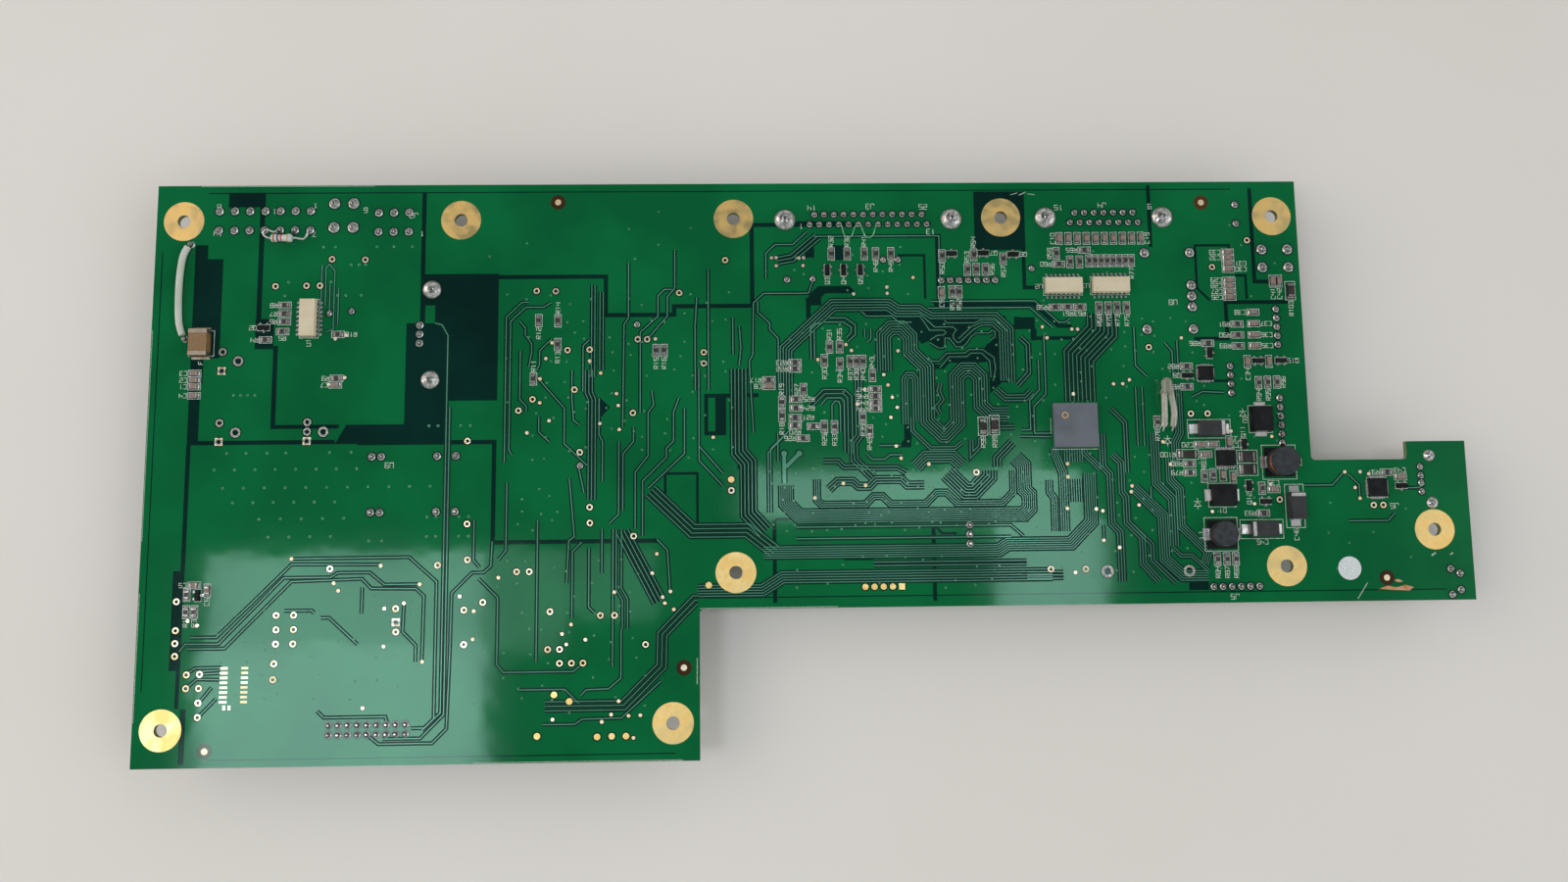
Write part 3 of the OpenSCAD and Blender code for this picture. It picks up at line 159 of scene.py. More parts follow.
# ---------------- finishes


def moulded(name, pale, deep, rough, flow_mm=3.0, gloss=0.5):
    """Filled epoxy or nylon from a spark-eroded mould. Its skin, drawn at 0.35 mm for a real
    0.05 mm so that it shows, breaks up highlights, and flow leaves slightly paler areas."""
    return surface(name, pale, deep, flow_mm, rough - 0.06, rough + 0.06, (0.35, 0.01),
                   Specular_IOR_Level=gloss)


def plated(name, bright, dull, rough, patch_mm=2.0):
    """Plating over pressed or drawn metal. Drawing leaves faint streaks along the part, and the
    plate dulls in patches where it was heated or touched."""
    return surface(name, bright, dull, patch_mm, rough - 0.07, rough + 0.1,
                   (0.5, 0.003, (1.0, 0.15, 1.0)), Metallic=1.0)


def fired(name, pale, deep, rough, sawn_side=None):
    """Fired ceramic or glaze. Firing leaves specks, and a glazed top ends at the sawn side,
    where the bare ceramic shows."""
    return surface(name, pale, deep, 0.3, rough - 0.05, rough + 0.08, (0.3, 0.006), sawn_side)


def masked(name, pale, deep, routed=None, shine=0.35, rough=0.05):
    """Curtain-coated epoxy solder mask, cured glossy over copper or bare laminate. It is deep
    green, and it sags into slow waves that stir a reflection. The glass cloth's yarns, drawn
    at 1.1 mm for a real 0.5 mm, just show in its relief."""
    material, tree, coat, where = start(name)
    tone, patch = mottle(tree, where, pale, deep, 26.0)
    if routed:
        # routed edges and drilled walls: dull resin with pale cut glass
        glass, _ = mottle(tree, where, *routed, 0.5)
        tone = by_side(tree, glass, tone)
    sag = add(tree, "TexNoise", {"Vector": where, "Scale": per(9.0), "Detail": 1.0})
    yarn = add(tree, "TexChecker", {"Vector": where, "Scale": per(1.1)}, out="Fac")
    cloth = add(tree, "Math", {0: yarn, 1: 0.012}, operation="MULTIPLY")
    height = add(tree, "Math", {0: sag, 1: cloth}, operation="ADD")
    dress(tree, coat, Base_Color=tone, Specular_IOR_Level=shine, Specular_Tint="ccfff0",
          Roughness=add(tree, "MapRange", {"Value": patch, "To Min": rough, "To Max": rough + 0.03}),
          Normal=add(tree, "Bump", {"Height": height, "Distance": 0.03 * MM}))
    return material


def printed(name, ink, thin, rough=0.5):
    """Screen-printed epoxy ink. The screen lets a little less through in places, so the mask
    shows faintly in the strokes."""
    return surface(name, ink, thin, 0.8, rough, rough + 0.15, Specular_IOR_Level=0.2)


def immersion_gold(name, bright, dull, rough):
    """Immersion gold over etched copper and nickel. It is flat and pale, with a satin sparkle
    from the etched copper and rub marks, drawn 0.4 mm wide for a real 0.05 mm."""
    return surface(name, bright, dull, 3.5, rough - 0.08, rough + 0.08,
                   (0.4, 0.006, (1.0, 0.1, 1.0), 0.6), Metallic=1.0)


def flowed_solder(name, bright, dull, rough):
    """Solder that froze from the melt. It is bright, with a rippled skin and grey frosty
    patches where flux stayed on it."""
    return surface(name, bright, dull, 0.8, rough - 0.08, rough + 0.2, (0.7, 0.05), Metallic=1.0)


def sintered(name, pale, deep):
    """Sintered ferrite. Pressing and firing leave it dull dark grey with fine pits."""
    material, tree, body, where = start(name)
    tone, patch = mottle(tree, where, pale, deep, 1.2)
    pits = add(tree, "TexVoronoi", {"Vector": where, "Scale": per(0.4)}, out="Distance")
    dress(tree, body, Base_Color=tone, Specular_IOR_Level=0.25,
          Roughness=add(tree, "MapRange", {"Value": patch, "To Min": 0.5, "To Max": 0.7}),
          Normal=add(tree, "Bump", {"Height": pits, "Distance": 0.02 * MM}))
    return material


def enamelled(name, bright, dull):
    """Wire under baked enamel. The varnish is clear and glossy over the colour of the wire and
    pools slightly darker in places."""
    return surface(name, bright, dull, 0.9, 0.28, 0.43, (0.6, 0.01), Metallic=0.35,
                   Coat_Weight=0.8, Coat_Roughness=0.12)


def banded_lacquer(name, body, dusty, bands, node):
    """Dipped resistor lacquer with painted bands. Dipping leaves it smooth and glossy, with
    rounded drips. Each band has its place and width as shares of the body's length."""
    material, tree, skin, where = start(name)
    tone, patch = mottle(tree, where, body, dusty, 1.5)
    low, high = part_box(node)
    along = add(tree, "SeparateXYZ", {"Vector": where}, out="X")
    share = add(tree, "MapRange", {"Value": along, "From Min": low.x, "From Max": high.x})
    for centre, width, paint in bands:
        inside = add(tree, "Math", {0: share, 1: centre, 2: width / 2}, operation="COMPARE")
        tone = add(tree, "Mix", {"Factor_Float": inside, "A_Color": tone, "B_Color": paint},
                   out=2, data_type="RGBA")
    dress(tree, skin, Base_Color=tone, Normal=grain(tree, where, 0.8, 0.01),
          Roughness=add(tree, "MapRange", {"Value": patch, "To Min": 0.22, "To Max": 0.34}))
    return material


def clear_cast(name, tint, cloudy, clearness):
    """Clear cast epoxy or extruded sleeving. Light passes and bends through it, and it is
    faintly milky, with soft flow lines."""
    return surface(name, tint, cloudy, 1.5, 0.08, 0.2, (2.0, 0.002), IOR=1.5,
                   Transmission_Weight=clearness)


def pressed_paper(name, pale, deep):
    """Smooth sticker paper. It is flat white, with fibres drawn 0.5 mm across, for a real
    0.1 mm, that make it faintly uneven."""
    return surface(name, pale, deep, 0.5, 0.7, 0.85, (0.5, 0.01), Specular_IOR_Level=0.25)


finishes = {
    "laminate": masked("solder_mask_over_copper", "086236", "055730", ("717a55", "5a6444")),
    "gold_plating": immersion_gold("immersion_gold_lands", "ffe29c", "f0cc80", 0.38),
    "solder": flowed_solder("flowed_tin_lead_solder", "b3b4b3", "828582", 0.2),
    "resistor_glaze": fired("glazed_resistor_film", "302c28", "1b1918", 0.4, sawn_side="c0bfbd"),
    "capacitor_ceramic": fired("fired_capacitor_ceramic", "88756a", "715e55", 0.5),
    "tinned_ends": flowed_solder("tinned_chip_ends", "adadab", "828481", 0.3),
    "shunt_body": moulded("black_shunt_moulding", "2c2826", "1b1918", 0.5, gloss=0.3),
    "black_moulding": moulded("black_epoxy_moulding", "181b1d", "0e1011", 0.5, gloss=0.12),
    "coupler_moulding": moulded("cream_epoxy_moulding", "c5bca4", "bfb599", 0.5),
    "tinned_leads": plated("tin_plated_leads", "bfbfbe", "a5a6a5", 0.34),
    "processor_moulding": moulded("blue_grey_epoxy_moulding", "5d646d", "525961", 0.5, flow_mm=9.0,
                                  gloss=0.3),
    "package_base": masked("carrier_laminate", "1d3e2e", "152d23", ("898456", "6b6940")),
    "ferrite": sintered("sintered_ferrite", "2f3439", "25292e"),
    "enamelled_copper": enamelled("enamelled_copper_wire", "c67b4c", "a44f1e"),
    "tantalum_moulding": moulded("black_capacitor_moulding", "303236", "27292c", 0.42, gloss=0.25),
    "fuse_ceramic": fired("tan_fuse_ceramic", "826643", "6a5131", 0.5),
    "fuse_caps": plated("tinned_fuse_caps", "b6afa2", "9a8d79", 0.36),
    "resistor_lacquer": banded_lacquer(
        "pale_resistor_lacquer", "b7c0c1", "acb7b9",
        [(0.16, 0.09, "8d542a"), (0.34, 0.08, "2c2c2e"), (0.5, 0.08, "b84530"), (0.82, 0.08, "b99554")],
        "leaded_resistor_body"),
    "jumper_insulation": moulded("pale_plastic_sleeving", "b4bbb2", "a9b3a6", 0.45, flow_mm=5.0),
    "wire_enamel": enamelled("green_insulated_wire", "64a97f", "3b8d5d"),
    "lamp_lens": clear_cast("clear_cast_epoxy", "dcdacf", "cfccc0", 0.8),
    "clear_sleeve": clear_cast("clear_sleeving", "e9e8df", "dcdace", 0.7),
    "paper": pressed_paper("white_sticker_paper", "c9d2d4", "bdc5c8"),
    "natural_nylon": moulded("natural_glass_filled_nylon", "c4c2be", "bebbb4", 0.45, flow_mm=5.0),
    "black_nylon": moulded("black_glass_filled_polyester", "2c2d31", "1d1e20", 0.5, flow_mm=5.0),
    "tinned_brass": plated("tin_plated_brass", "c6c1b4", "b7af9a", 0.33),
    "gold_contacts": plated("gold_plated_contacts", "cfb98e", "c4a567", 0.24),
    "nickel_shell": plated("nickel_plated_steel", "bfc0c1", "adb0b1", 0.3, patch_mm=5.0),
    "zinc_steel": plated("zinc_plated_steel", "b9bab8", "a0a29f", 0.38),
    "white_nylon": moulded("white_glass_filled_nylon", "cccccc", "c6c6c5", 0.45),
    "button_moulding": moulded("black_moulded_nylon", "1a1c1f", "101213", 0.45),
    "black_anodised": plated("black_anodised_aluminium", "44474c", "2e3034", 0.42, patch_mm=6.0),
    "tab_metal": plated("tinned_copper_tab", "c0c0be", "aeada9", 0.36),
    "potted_case": moulded("black_potting_case", "242528", "17181a", 0.42, flow_mm=8.0),
}
for part in frame["record"]["subparts"]:
    shown = frame["nodes"][part["node"]].data
    shown.materials.clear()
    shown.materials.append(finishes[part["material_slot"]])

# where no copper lies under the mask it is nearly black, and it dips beside a track; the via bores take
# the same nearly black colour as painted shade
bare_laminate_and_bore_shade = masked("solder_mask_over_bare_laminate_and_bore_shade", "052823", "041f1c")
mask_slope = masked("solder_mask_slopes", "05251d", "031d17", shine=0.15, rough=0.3)
# the mask over a track or a via ring is painted paler than the copper area round it: a painted
# highlight for the light that the mask's sloped shoulders catch
painted_highlight_track_mask = masked("solder_mask_over_a_track_painted_highlight", "528f78", "437f68")
painted_highlight_via_mask = printed("solder_mask_over_a_via_painted_highlight", "669a7c", "41815b", 0.3)
# in a window in the mask the bare laminate shows brown, with the cloth in its glossy resin
open_window = masked("bare_brown_laminate", "49321e", "362619")
marking_ink = printed("white_marking_ink", "d2dad2", "a6b6aa")
worn_ink = printed("worn_marking_ink", "a2b2a7", "779a84")
band_ink = printed("grey_band_ink", "b1b3b2", "989c9b", 0.4)
laser_mark = printed("gold_toned_laser_mark", "ba966b", "a57f4b", 0.4)
# copper that a knock laid bare: streaky and unevenly dulled
scraped_copper = plated("scraped_copper", "c8a17e", "b2794a", 0.45)
# the small lands and dots are given a paler, brighter gold than the large lands
small_lands = immersion_gold("gold_on_small_lands", "fff4d6", "e6d3a6", 0.4)
frame["nodes"]["hole_lands"].data.materials[0] = small_lands

# ---------------- flat work on the board's faces


class Sheet:
    """Flat faces of one finish that lie on the board, gathered into one piece.

    Each face lies a hair above the last, so that crossing strokes don't lie in one plane. After
    a number of hairs the next face lies lowest again."""

    HAIR, HAIRS = 0.0003, 24

    def __init__(self, name, finish, slot, lift, underside=False):
        self.name, self.finish, self.slot = name, finish, slot
        self.lift, self.underside = lift, underside
        self.points, self.faces = [], []

    def face(self, outline):
        lift = self.lift + self.HAIR * (len(self.faces) % self.HAIRS)
        if self.underside:
            lift = -BOARD_T - lift
            outline = outline[::-1]
        first = len(self.points)
        self.points += [on_board(x, y, lift) for x, y in outline]
        self.faces.append(list(range(first, len(self.points))))

    def block(self, x0, y0, x1, y1):
        self.face([(x0, y0), (x1, y0), (x1, y1), (x0, y1)])

    def disc(self, x, y, width, sides=12):
        turns = [math.tau * (i + 0.5) / sides for i in range(sides)]
        self.face([around(x, y, width, turn) for turn in turns])

    def ring(self, x, y, outer, inner, sides=16):
        turns = [math.tau * i / sides for i in range(sides + 1)]
        for a, b in zip(turns, turns[1:]):
            self.face([around(x, y, outer, a), around(x, y, outer, b),
                       around(x, y, inner, b), around(x, y, inner, a)])

    def stroke(self, route, width):
        """A ribbon along a route, with mitred corners and square ends."""
        left, right = edges(route, width / 2)
        for i in range(len(route) - 1):
            self.face([left[i], right[i], right[i + 1], left[i + 1]])

    def box(self, x0, y0, x1, y1, width):
        h = width / 2
        self.stroke([(x0 - h, y0), (x1 + h, y0)], width)
        self.stroke([(x0 - h, y1), (x1 + h, y1)], width)
        self.stroke([(x0, y0), (x0, y1)], width)
        self.stroke([(x1, y0), (x1, y1)], width)

    def lay(self):
        mesh = bpy.data.meshes.new(self.name)
        mesh.from_pydata(self.points, [], self.faces)
        mesh.materials.append(self.finish)
        piece = bpy.data.objects.new(self.name, mesh)
        bpy.context.scene.collection.objects.link(piece)
        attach(piece, "unit")


def around(x, y, width, turn):
    """A point on the circle of this width round a place."""
    return x + width / 2 * math.cos(turn), y + width / 2 * math.sin(turn)


def edges(route, side):
    """A route's two parallel edges, mitred at its corners."""
    least = 0.35       # the least lean, which keeps a sharp corner's point short
    points = [Vector(p) for p in route]
    steps = [(b - a).normalized() for a, b in zip(points, points[1:])]
    left, right = [], []
    for i, p in enumerate(points):
        before, after = steps[max(i - 1, 0)], steps[min(i, len(steps) - 1)]
        across = Vector((-(before.y + after.y), before.x + after.x))
        square = Vector((-after.y, after.x))
        across = across.normalized() if across.length > 0.01 else square
        lean = max(least, across.dot(square))
        left.append(tuple(p + across * side / lean))
        right.append(tuple(p - across * side / lean))
    return left, right


def beside(route, offset):
    """The same route, a distance to its left."""
    return edges(route, offset)[0]


TRACK_W = 0.26         # a signal track
FINE_W = 0.2           # a track among others
THIN_W = 0.18          # a track in the closest bundles
MOAT_W = 1.1           # a track with the bare laminate on both its sides
VIA_W = 0.75
STITCH_W = 0.6         # a via that only ties copper areas together
BORE_SHARE = 0.45      # a via's bore beside its ring
SLIT_W = 1.2           # a plain gap between two copper areas
# sheets from the mask up, each with its finish, the name of a slot and its lift
gaps = Sheet("bare_laminate_gaps", bare_laminate_and_bore_shade, "laminate", 0.004)
moats = Sheet("mask_slopes_beside_tracks", mask_slope, "laminate", 0.0115)
# the tracks take the paler mask colour, a painted highlight
tracks = Sheet("masked_tracks", painted_highlight_track_mask, "laminate", 0.019)
pads = Sheet("soldered_lands", finishes["solder"], "solder", 0.0265)
tinned = Sheet("tinned_empty_lands", finishes["tinned_ends"], "tinned_ends", 0.056)
windows = Sheet("mask_windows", open_window, "laminate", 0.0265)
dots = Sheet("test_dots", small_lands, "gold_plating", 0.034)
# the via rings take a paler mask colour, a painted highlight
vias = Sheet("via_rings", painted_highlight_via_mask, "laminate", 0.0265)
# the via bores are flat dark discs of painted shade
bores = Sheet("via_bores", bare_laminate_and_bore_shade, "laminate", 0.034)
ink = Sheet("white_markings", marking_ink, "paper", 0.0415)
bared = Sheet("bared_copper", scraped_copper, "laminate", 0.0415)
worn = Sheet("edge_scrapes", worn_ink, "laminate", 0.0415)


def track(*routes, width=TRACK_W, moat=MOAT_W):
    """Masked tracks, each between two slots where the mask dips to the bare laminate."""
    for route in routes:
        moats.stroke(route, moat)
        tracks.stroke(route, width)


def bundle(route, count, pitch=0.9, width=FINE_W):
    """Tracks side by side, the first on the route and the others to its left."""
    for i in range(count):
        track(beside(route, i * pitch) if i else route, width=width)


def slit(*routes, width=SLIT_W):
    """A plain gap between two copper areas."""
    for route in routes:
        gaps.stroke(route, width)


def via(x, y, width):
    """A small plated hole: its ring under the mask, and its bore, a flat dark disc of painted shade."""
    vias.disc(x, y, width, 8)
    bores.disc(x, y, width * BORE_SHARE, 6)


def via_row(y, xs):
    for x in xs:
        via(x, y, VIA_W)


def evenly(first, last, step):
    """Places from first to last, a step apart."""
    return [first + i * step for i in range(int(abs((last - first) / step) + 1.5))]


# ---------------- where the laminate is bare

# beside the power headers and down the left side
for x0, y0, x1, y1 in [
    (19.6, 152.8, 29.8, 157), (28.4, 121, 29.8, 153), (28.3, 112.5, 33.4, 121),
    (33.4, 90.3, 34.7, 113.4), (34.7, 90.3, 52, 91.4), (11, 103, 14.5, 142), (14.5, 110, 18.8, 138),
    (11, 86, 14, 103), (10.9, 52, 12.1, 86), (9, 25.5, 12, 52), (10.9, 15.5, 12, 25.5),
    (12.5, 1, 14, 15.5), (14, 86, 51, 87.2),
    # round the heat sink
    (69.7, 97.7, 95, 119.5), (81, 119.5, 95, 133.4), (74.8, 124.5, 81, 133.4), (69.7, 86, 81, 97.7),
    (73.4, 119.5, 74.8, 133.4), (77.5, 119.5, 81, 124.5),
    # among the signal parts
    (228.4, 139.4, 242.8, 146), (228.4, 146, 233.2, 151.6), (238.8, 146, 242.8, 151.6),
    (228.4, 151.6, 242.8, 156.4), (155, 88, 158, 98), (161, 78, 163, 99), (217.2, 123.5, 218.4, 144),
    (284.5, 43.5, 290, 46), (190, 52.7, 198, 53.3), (178, 147, 193.4, 148),
    (188, 136.7, 192, 141), (180.5, 137.5, 183, 140.5)]:
    gaps.block(x0, y0, x1, y1)
for outline in [[(51, 86), (69.8, 86), (69.8, 91.3), (54, 91.3)], [(123, 98.5), (123, 92), (126, 95.5)],
                [(139.5, 67), (142.5, 67), (142, 70), (140, 70)]]:
    gaps.face(outline)

# a thin gap that runs along the outer edge
slit([(14, 156.8), (302, 156.8)], [(2, 140), (2, 20)], [(20, 2), (144, 2)], [(152, 43), (356, 43)],
     width=0.3)
slit([(57, 86.2), (94.4, 86.2), (94.4, 58.7), (139, 58.7)])
slit([(73.9, 133.4), (73.9, 157)], [(95, 132.4), (124.7, 132.4), (124.7, 121.4), (143.7, 121.4),
                                    (143.7, 123.8), (165.5, 123.8), (165.5, 147), (195, 147)])
slit([(242.1, 140), (242.1, 128.5), (247, 128.5)], [(278.4, 140), (278.4, 158)],
     [(314, 129.8), (307.5, 129.8), (307.5, 157)], [(171, 41.5), (171, 64)],
     [(214.6, 41.5), (214.6, 62)], [(289.5, 113.5), (298.9, 113.5), (298.9, 123.9), (316.8, 123.9)],
     [(167, 98.5), (152.5, 98.5), (152.5, 88), (158, 88)], width=1.1)
slit([(300.7, 139), (300.7, 140.4), (291, 140.4), (291, 128), (294.5, 124.5)],
     [(302, 131.6), (305, 131.6), (305, 124.8)], [(310, 107), (318.5, 107)],
     [(293, 101.5), (299, 101.5)], [(141.2, 70), (141.2, 77), (150, 77), (150, 62.5)],
     [(215, 62), (217, 59.8), (221, 59.8)], [(206.5, 138), (214, 138), (214, 125.5)], width=0.7)

# ---------------- tracks

# from the link socket up to the small controller at the left edge
track([(14.3, 34.2), (21.2, 34.2), (40.5, 53.4), (64.3, 53.1)],
      [(11.5, 30.5), (13, 32.5), (21.8, 32.4), (38.5, 49.8), (51, 49.8), (53, 51), (61.5, 51),
       (65.5, 47.7), (75, 47.7)],
      [(13.6, 31.2), (23.5, 31.2), (40.6, 48.8), (59.5, 49.3), (62, 46.7), (74, 46.5),
       (76.2, 44.5), (76, 27)],
      [(40.4, 54.9), (72, 55), (79.5, 48.3), (79.5, 12), (76.5, 9)],
      [(39, 41), (46.3, 41), (47, 40.3)], [(48.8, 39), (51, 39), (58.8, 31.8)],
      [(59.6, 47), (59.6, 40)], [(70.9, 42.6), (70.7, 35), (74.3, 31.4), (74.3, 27)],
      [(48.6, 14.4), (50.4, 12.7), (66.7, 12.7), (67.3, 10.8)],
      [(13.7, 24.4), (15.8, 26.1), (22.8, 26.2)], [(17.2, 24.5), (22.8, 24.8)],
      [(13.7, 20.8), (16.5, 23.2), (22.6, 23)], [(17.3, 17), (20.5, 21)], [(17.2, 13.2), (21.8, 18)])
# round the coupler at the left
track([(46, 121), (46, 136.2)], [(47.2, 124.5), (47.2, 135.4), (48, 136.4), (49.6, 134.6),
       (49.6, 118), (47.6, 117.2)], [(48.4, 130.5), (48.4, 122)], [(50.8, 129.5), (50.8, 119)],
      width=0.28, moat=0.8)
# from the transistor by the heat sink down to the link socket
track([(77.5, 119.5), (79.5, 119), (81.2, 116), (81.2, 13.5), (77, 9.6), (73.5, 9.6)],
      [(82.1, 96), (82.1, 13), (76, 6.9), (66, 6.9)],
      [(94.3, 59), (94, 52.3), (92, 50.6), (89, 50.6), (83.6, 45.2), (83.4, 28), (82.9, 9.3),
       (79.2, 5.6), (65, 5.6), (62, 8)],
      [(89.3, 65), (89.3, 54), (91, 52)],
      [(90.8, 49), (96, 43.8), (96, 26), (97.8, 23.9), (116.5, 23.9), (118.8, 25.8)])
# foot, right half
bundle([(129.3, 62), (129.3, 46), (131, 43), (131, 35)], 2, -1.4)
track([(127, 62), (127, 25)], [(129.3, 35), (129.3, 22), (126, 19.2), (120, 19), (118.5, 17.5)],
      [(139, 59), (141.8, 56), (142.5, 45)], [(102, 19.2), (114.3, 19.2), (118, 15.5)],
      [(108.5, 10), (117, 10), (119, 11.3), (129.5, 11.5), (140, 21)],
      [(106.5, 64.5), (106.5, 26.5)], [(98, 75), (98, 56.5), (96, 54)],
      [(115, 76), (116.5, 60), (115, 59), (114.5, 47.5)], [(118.5, 58.5), (116, 56), (116, 38)],
      [(117.5, 79), (119, 72)], [(124, 62), (124, 50)], [(120.5, 57), (120.5, 41), (122, 39.5)])
bundle([(131, 62), (141, 43)], 4, -1.1)
bundle([(150, 43.7), (148.7, 43.7), (139.2, 34), (139, 25.5), (129.5, 16), (109, 16)], 3, 1.2)
# from the heat sink across the middle field
track([(103.5, 125.2), (101.5, 125.2), (97.2, 121), (97.2, 80.5)],
      [(109.5, 125), (107.5, 123.8), (102.5, 123.8), (98.4, 119.8), (98.4, 84), (99.2, 82.5)],
      [(101, 119.7), (102.5, 118), (102.5, 116), (104.3, 113.5), (104.3, 111), (103.6, 107)],
      [(101.2, 111.5), (101.2, 98), (103, 96), (103, 94.5)],
      [(109.8, 114.8), (106.5, 111.5), (106.5, 107.5), (105.7, 106)],
      [(120.3, 114.5), (118.5, 112.8), (118.5, 100)],
      [(131, 136.3), (131, 120.5), (129.8, 118.8), (129.5, 90)],
      [(143.9, 140), (143.9, 129), (141.8, 126.5), (141.8, 121), (136.8, 115.2)],
      [(143, 128.6), (141, 128.6), (139.2, 126.8), (139.2, 121), (134.3, 116.5), (134.3, 94)],
      [(153.2, 134.3), (153.2, 100)], [(150, 126.3), (149.5, 118), (149.5, 100)],
      [(160, 120.5), (160, 110)], [(161.8, 118), (162.2, 112), (161.7, 107)],
      [(167, 125), (167, 122), (170.3, 118.8), (170.3, 117), (172.6, 114.5), (172.6, 100)],
      [(183, 132), (181.2, 127.3), (168.7, 127.3), (165.8, 124.6), (165.5, 110), (164.5, 108),
       (165.5, 88)],
      [(169.4, 131.5), (169.4, 138.8), (172, 141.3), (177, 141.3), (181, 145)])
bundle([(121.7, 130), (121.7, 104)], 2, -0.9)
bundle([(124, 128), (124, 106)], 2, -0.9)
track([(106, 104), (107, 102.8), (113.5, 95.3), (113.5, 85.5), (119.8, 79.5)],
      [(106.5, 93), (106.5, 88.8), (109.5, 86)],
      [(115.5, 106), (115.5, 98.5), (116, 92), (117.5, 90.8)],
      [(123, 98), (123, 88), (124, 86), (124, 75)], [(128.5, 86), (128.5, 66), (126, 63.5)],
      [(132.5, 90), (132.5, 86), (129.6, 82.5), (129.6, 67)],
      [(137.5, 100), (138, 96), (136.5, 94), (136.5, 82), (133, 77.5), (133, 62)],
      [(145, 98), (143.5, 94), (143.5, 86), (141.5, 84), (141.5, 81.5), (135, 75), (135, 60)],
      [(146.5, 95), (146.5, 82.5), (136.5, 73)], [(150.5, 106), (150.5, 80.5), (157, 73.5)],
      [(150.5, 84.5), (157, 77)], [(175, 88), (169.5, 82.5), (169.5, 66)])
bundle([(119.2, 106), (119.2, 99.5), (120.1, 97.5), (120.1, 70)], 3, 0.95)
bundle([(136, 71), (148, 59.5), (163, 59.5), (170, 54)], 4, 1.15)
bundle([(159.5, 106), (159.5, 82), (162, 79), (162, 65), (167, 59.5)], 5, 1.0)
# from the plug's joints down to the processor
bundle([(183.4, 144.4), (176.3, 138.3), (172.5, 137.6)], 3, 1.0)
# between the plug's joints and the processor: wide bare areas with tracks over them
for outline in [
    [(181, 125.8), (181.7, 127.2), (183.9, 129.3), (192.7, 129.3), (194, 128), (193.6, 127.2),
     (186, 127.2), (184.6, 125.8)],
    [(180.5, 120), (181.8, 120), (181.8, 126), (180.5, 126)],
    [(180.5, 123.8), (184.8, 123.8), (184.8, 126), (180.5, 126)],
    [(196.5, 121.2), (198.5, 120.4), (205, 120.2), (205.5, 122.6), (197, 122.6)],
    [(238.8, 120.2), (241.2, 120), (244.6, 120), (244.6, 116.6), (238.8, 116.6)],
    [(243.3, 113.4), (245, 113.4), (245, 116.7), (243.3, 116.7)],
    [(245, 113.5), (255.7, 113.5), (255.7, 114.5), (245, 114.5)],
    [(201.1, 104.8), (203.3, 104.8), (203.3, 115.5), (201.1, 115.5)],
    [(207.2, 90.6), (208.2, 90.6), (209.3, 86.6), (209, 83.6), (205.5, 83.6), (207.2, 86)],
    # round the islands above the arches
    [(206, 120.4), (236.5, 120.4), (236.5, 117.6), (229, 117.6), (226, 115.2), (224.6, 112.2),
     (222.2, 111.8), (220.6, 114.4), (219, 114.4), (218.4, 111.6), (217.2, 111.6), (214.6, 113.4),
     (212.6, 112.6), (209.8, 117), (206, 119)],
    [(233.6, 117.8), (238.8, 117.8), (238.8, 101.6), (234.8, 101.6), (231.4, 98.4), (231.4, 106.4),
     (229.4, 110.2), (231, 112.4), (233.8, 114.2)],
    [(214.8, 107.2), (217.6, 106.6), (219.6, 109.2), (225, 109.2), (226.2, 110.4), (229.4, 110.4),
     (231, 107.4), (228.6, 107.2), (220.4, 107.2), (218.6, 105.4), (215.2, 105.6)]]:
    gaps.face(outline)
slit([(216.4, 123.7), (244.4, 123.6), (251.2, 117.4), (255, 117.4)], width=1.0)
track([(215.6, 124.7), (244.8, 124.7), (251.4, 118.5), (253.4, 118.6), (254.6, 119.6)],
      [(214.8, 122.8), (243.4, 122.8), (249.6, 117)], [(183, 143.6), (218.3, 143.6), (218.3, 125.6)])
# a bus from the left: three lines go on over the arches, two turn off among the islands
bus = [(173.2, 96), (173.2, 112.2), (187.4, 125.4), (204, 125.4), (206.6, 123.6), (212.4, 123.6)]
BUS_PITCH = -0.78
bundle(bus + [(215.8, 121.4), (234, 121.4), (238.4, 117), (238.4, 101.5)], 3, BUS_PITCH)
track(beside(bus, 3 * BUS_PITCH) + [
          (216.4, 117.4), (221.6, 117.4), (222.5, 116.5), (221.6, 115.3), (221.6, 114.2), (222.5, 113),
          (223.4, 113), (227.4, 116.7), (229.7, 117.85), (232.6, 117.85), (234.6, 115.9), (234.6, 102)],
      beside(bus, 4 * BUS_PITCH) + [(215, 116.5), (218.9, 116.5), (219.6, 115.8), (218.9, 115.1),
                                    (217.1, 115), (215, 113.7)],
      [(219.2, 119.2), (220, 118.5), (227.8, 118.5), (229.3, 119.3), (233.4, 119.3), (236.1, 116.6),
       (236.1, 102)],
      [(223, 114), (226.8, 117.5), (227.6, 117.75), (229.5, 118.6), (233, 118.6), (235.35, 116.25),
       (235.35, 102)],
      [(215, 112.9), (217.4, 111.4), (218.7, 111.4), (219.2, 112.2), (219.2, 114.2), (220.4, 114.2),
       (222.3, 111.7), (224.1, 111.7), (225.1, 112.5), (226.6, 114.6), (228, 115.6), (231.8, 115.6),
       (232.5, 116.4), (233.3, 116), (233.4, 114.6), (232.1, 113.7)],
      [(214.3, 109), (215.4, 107.7), (217.4, 107.7), (219.6, 109.9), (224.8, 110), (225.8, 110.9),
       (229.7, 110.9), (232.8, 108.6), (233.2, 105.5), (232.4, 102)],
      [(217.6, 105.8), (220.2, 108.9), (225.2, 108.9), (226.4, 109.9), (229.4, 109.9), (231.6, 107.6),
       (231.8, 103)], width=FINE_W)
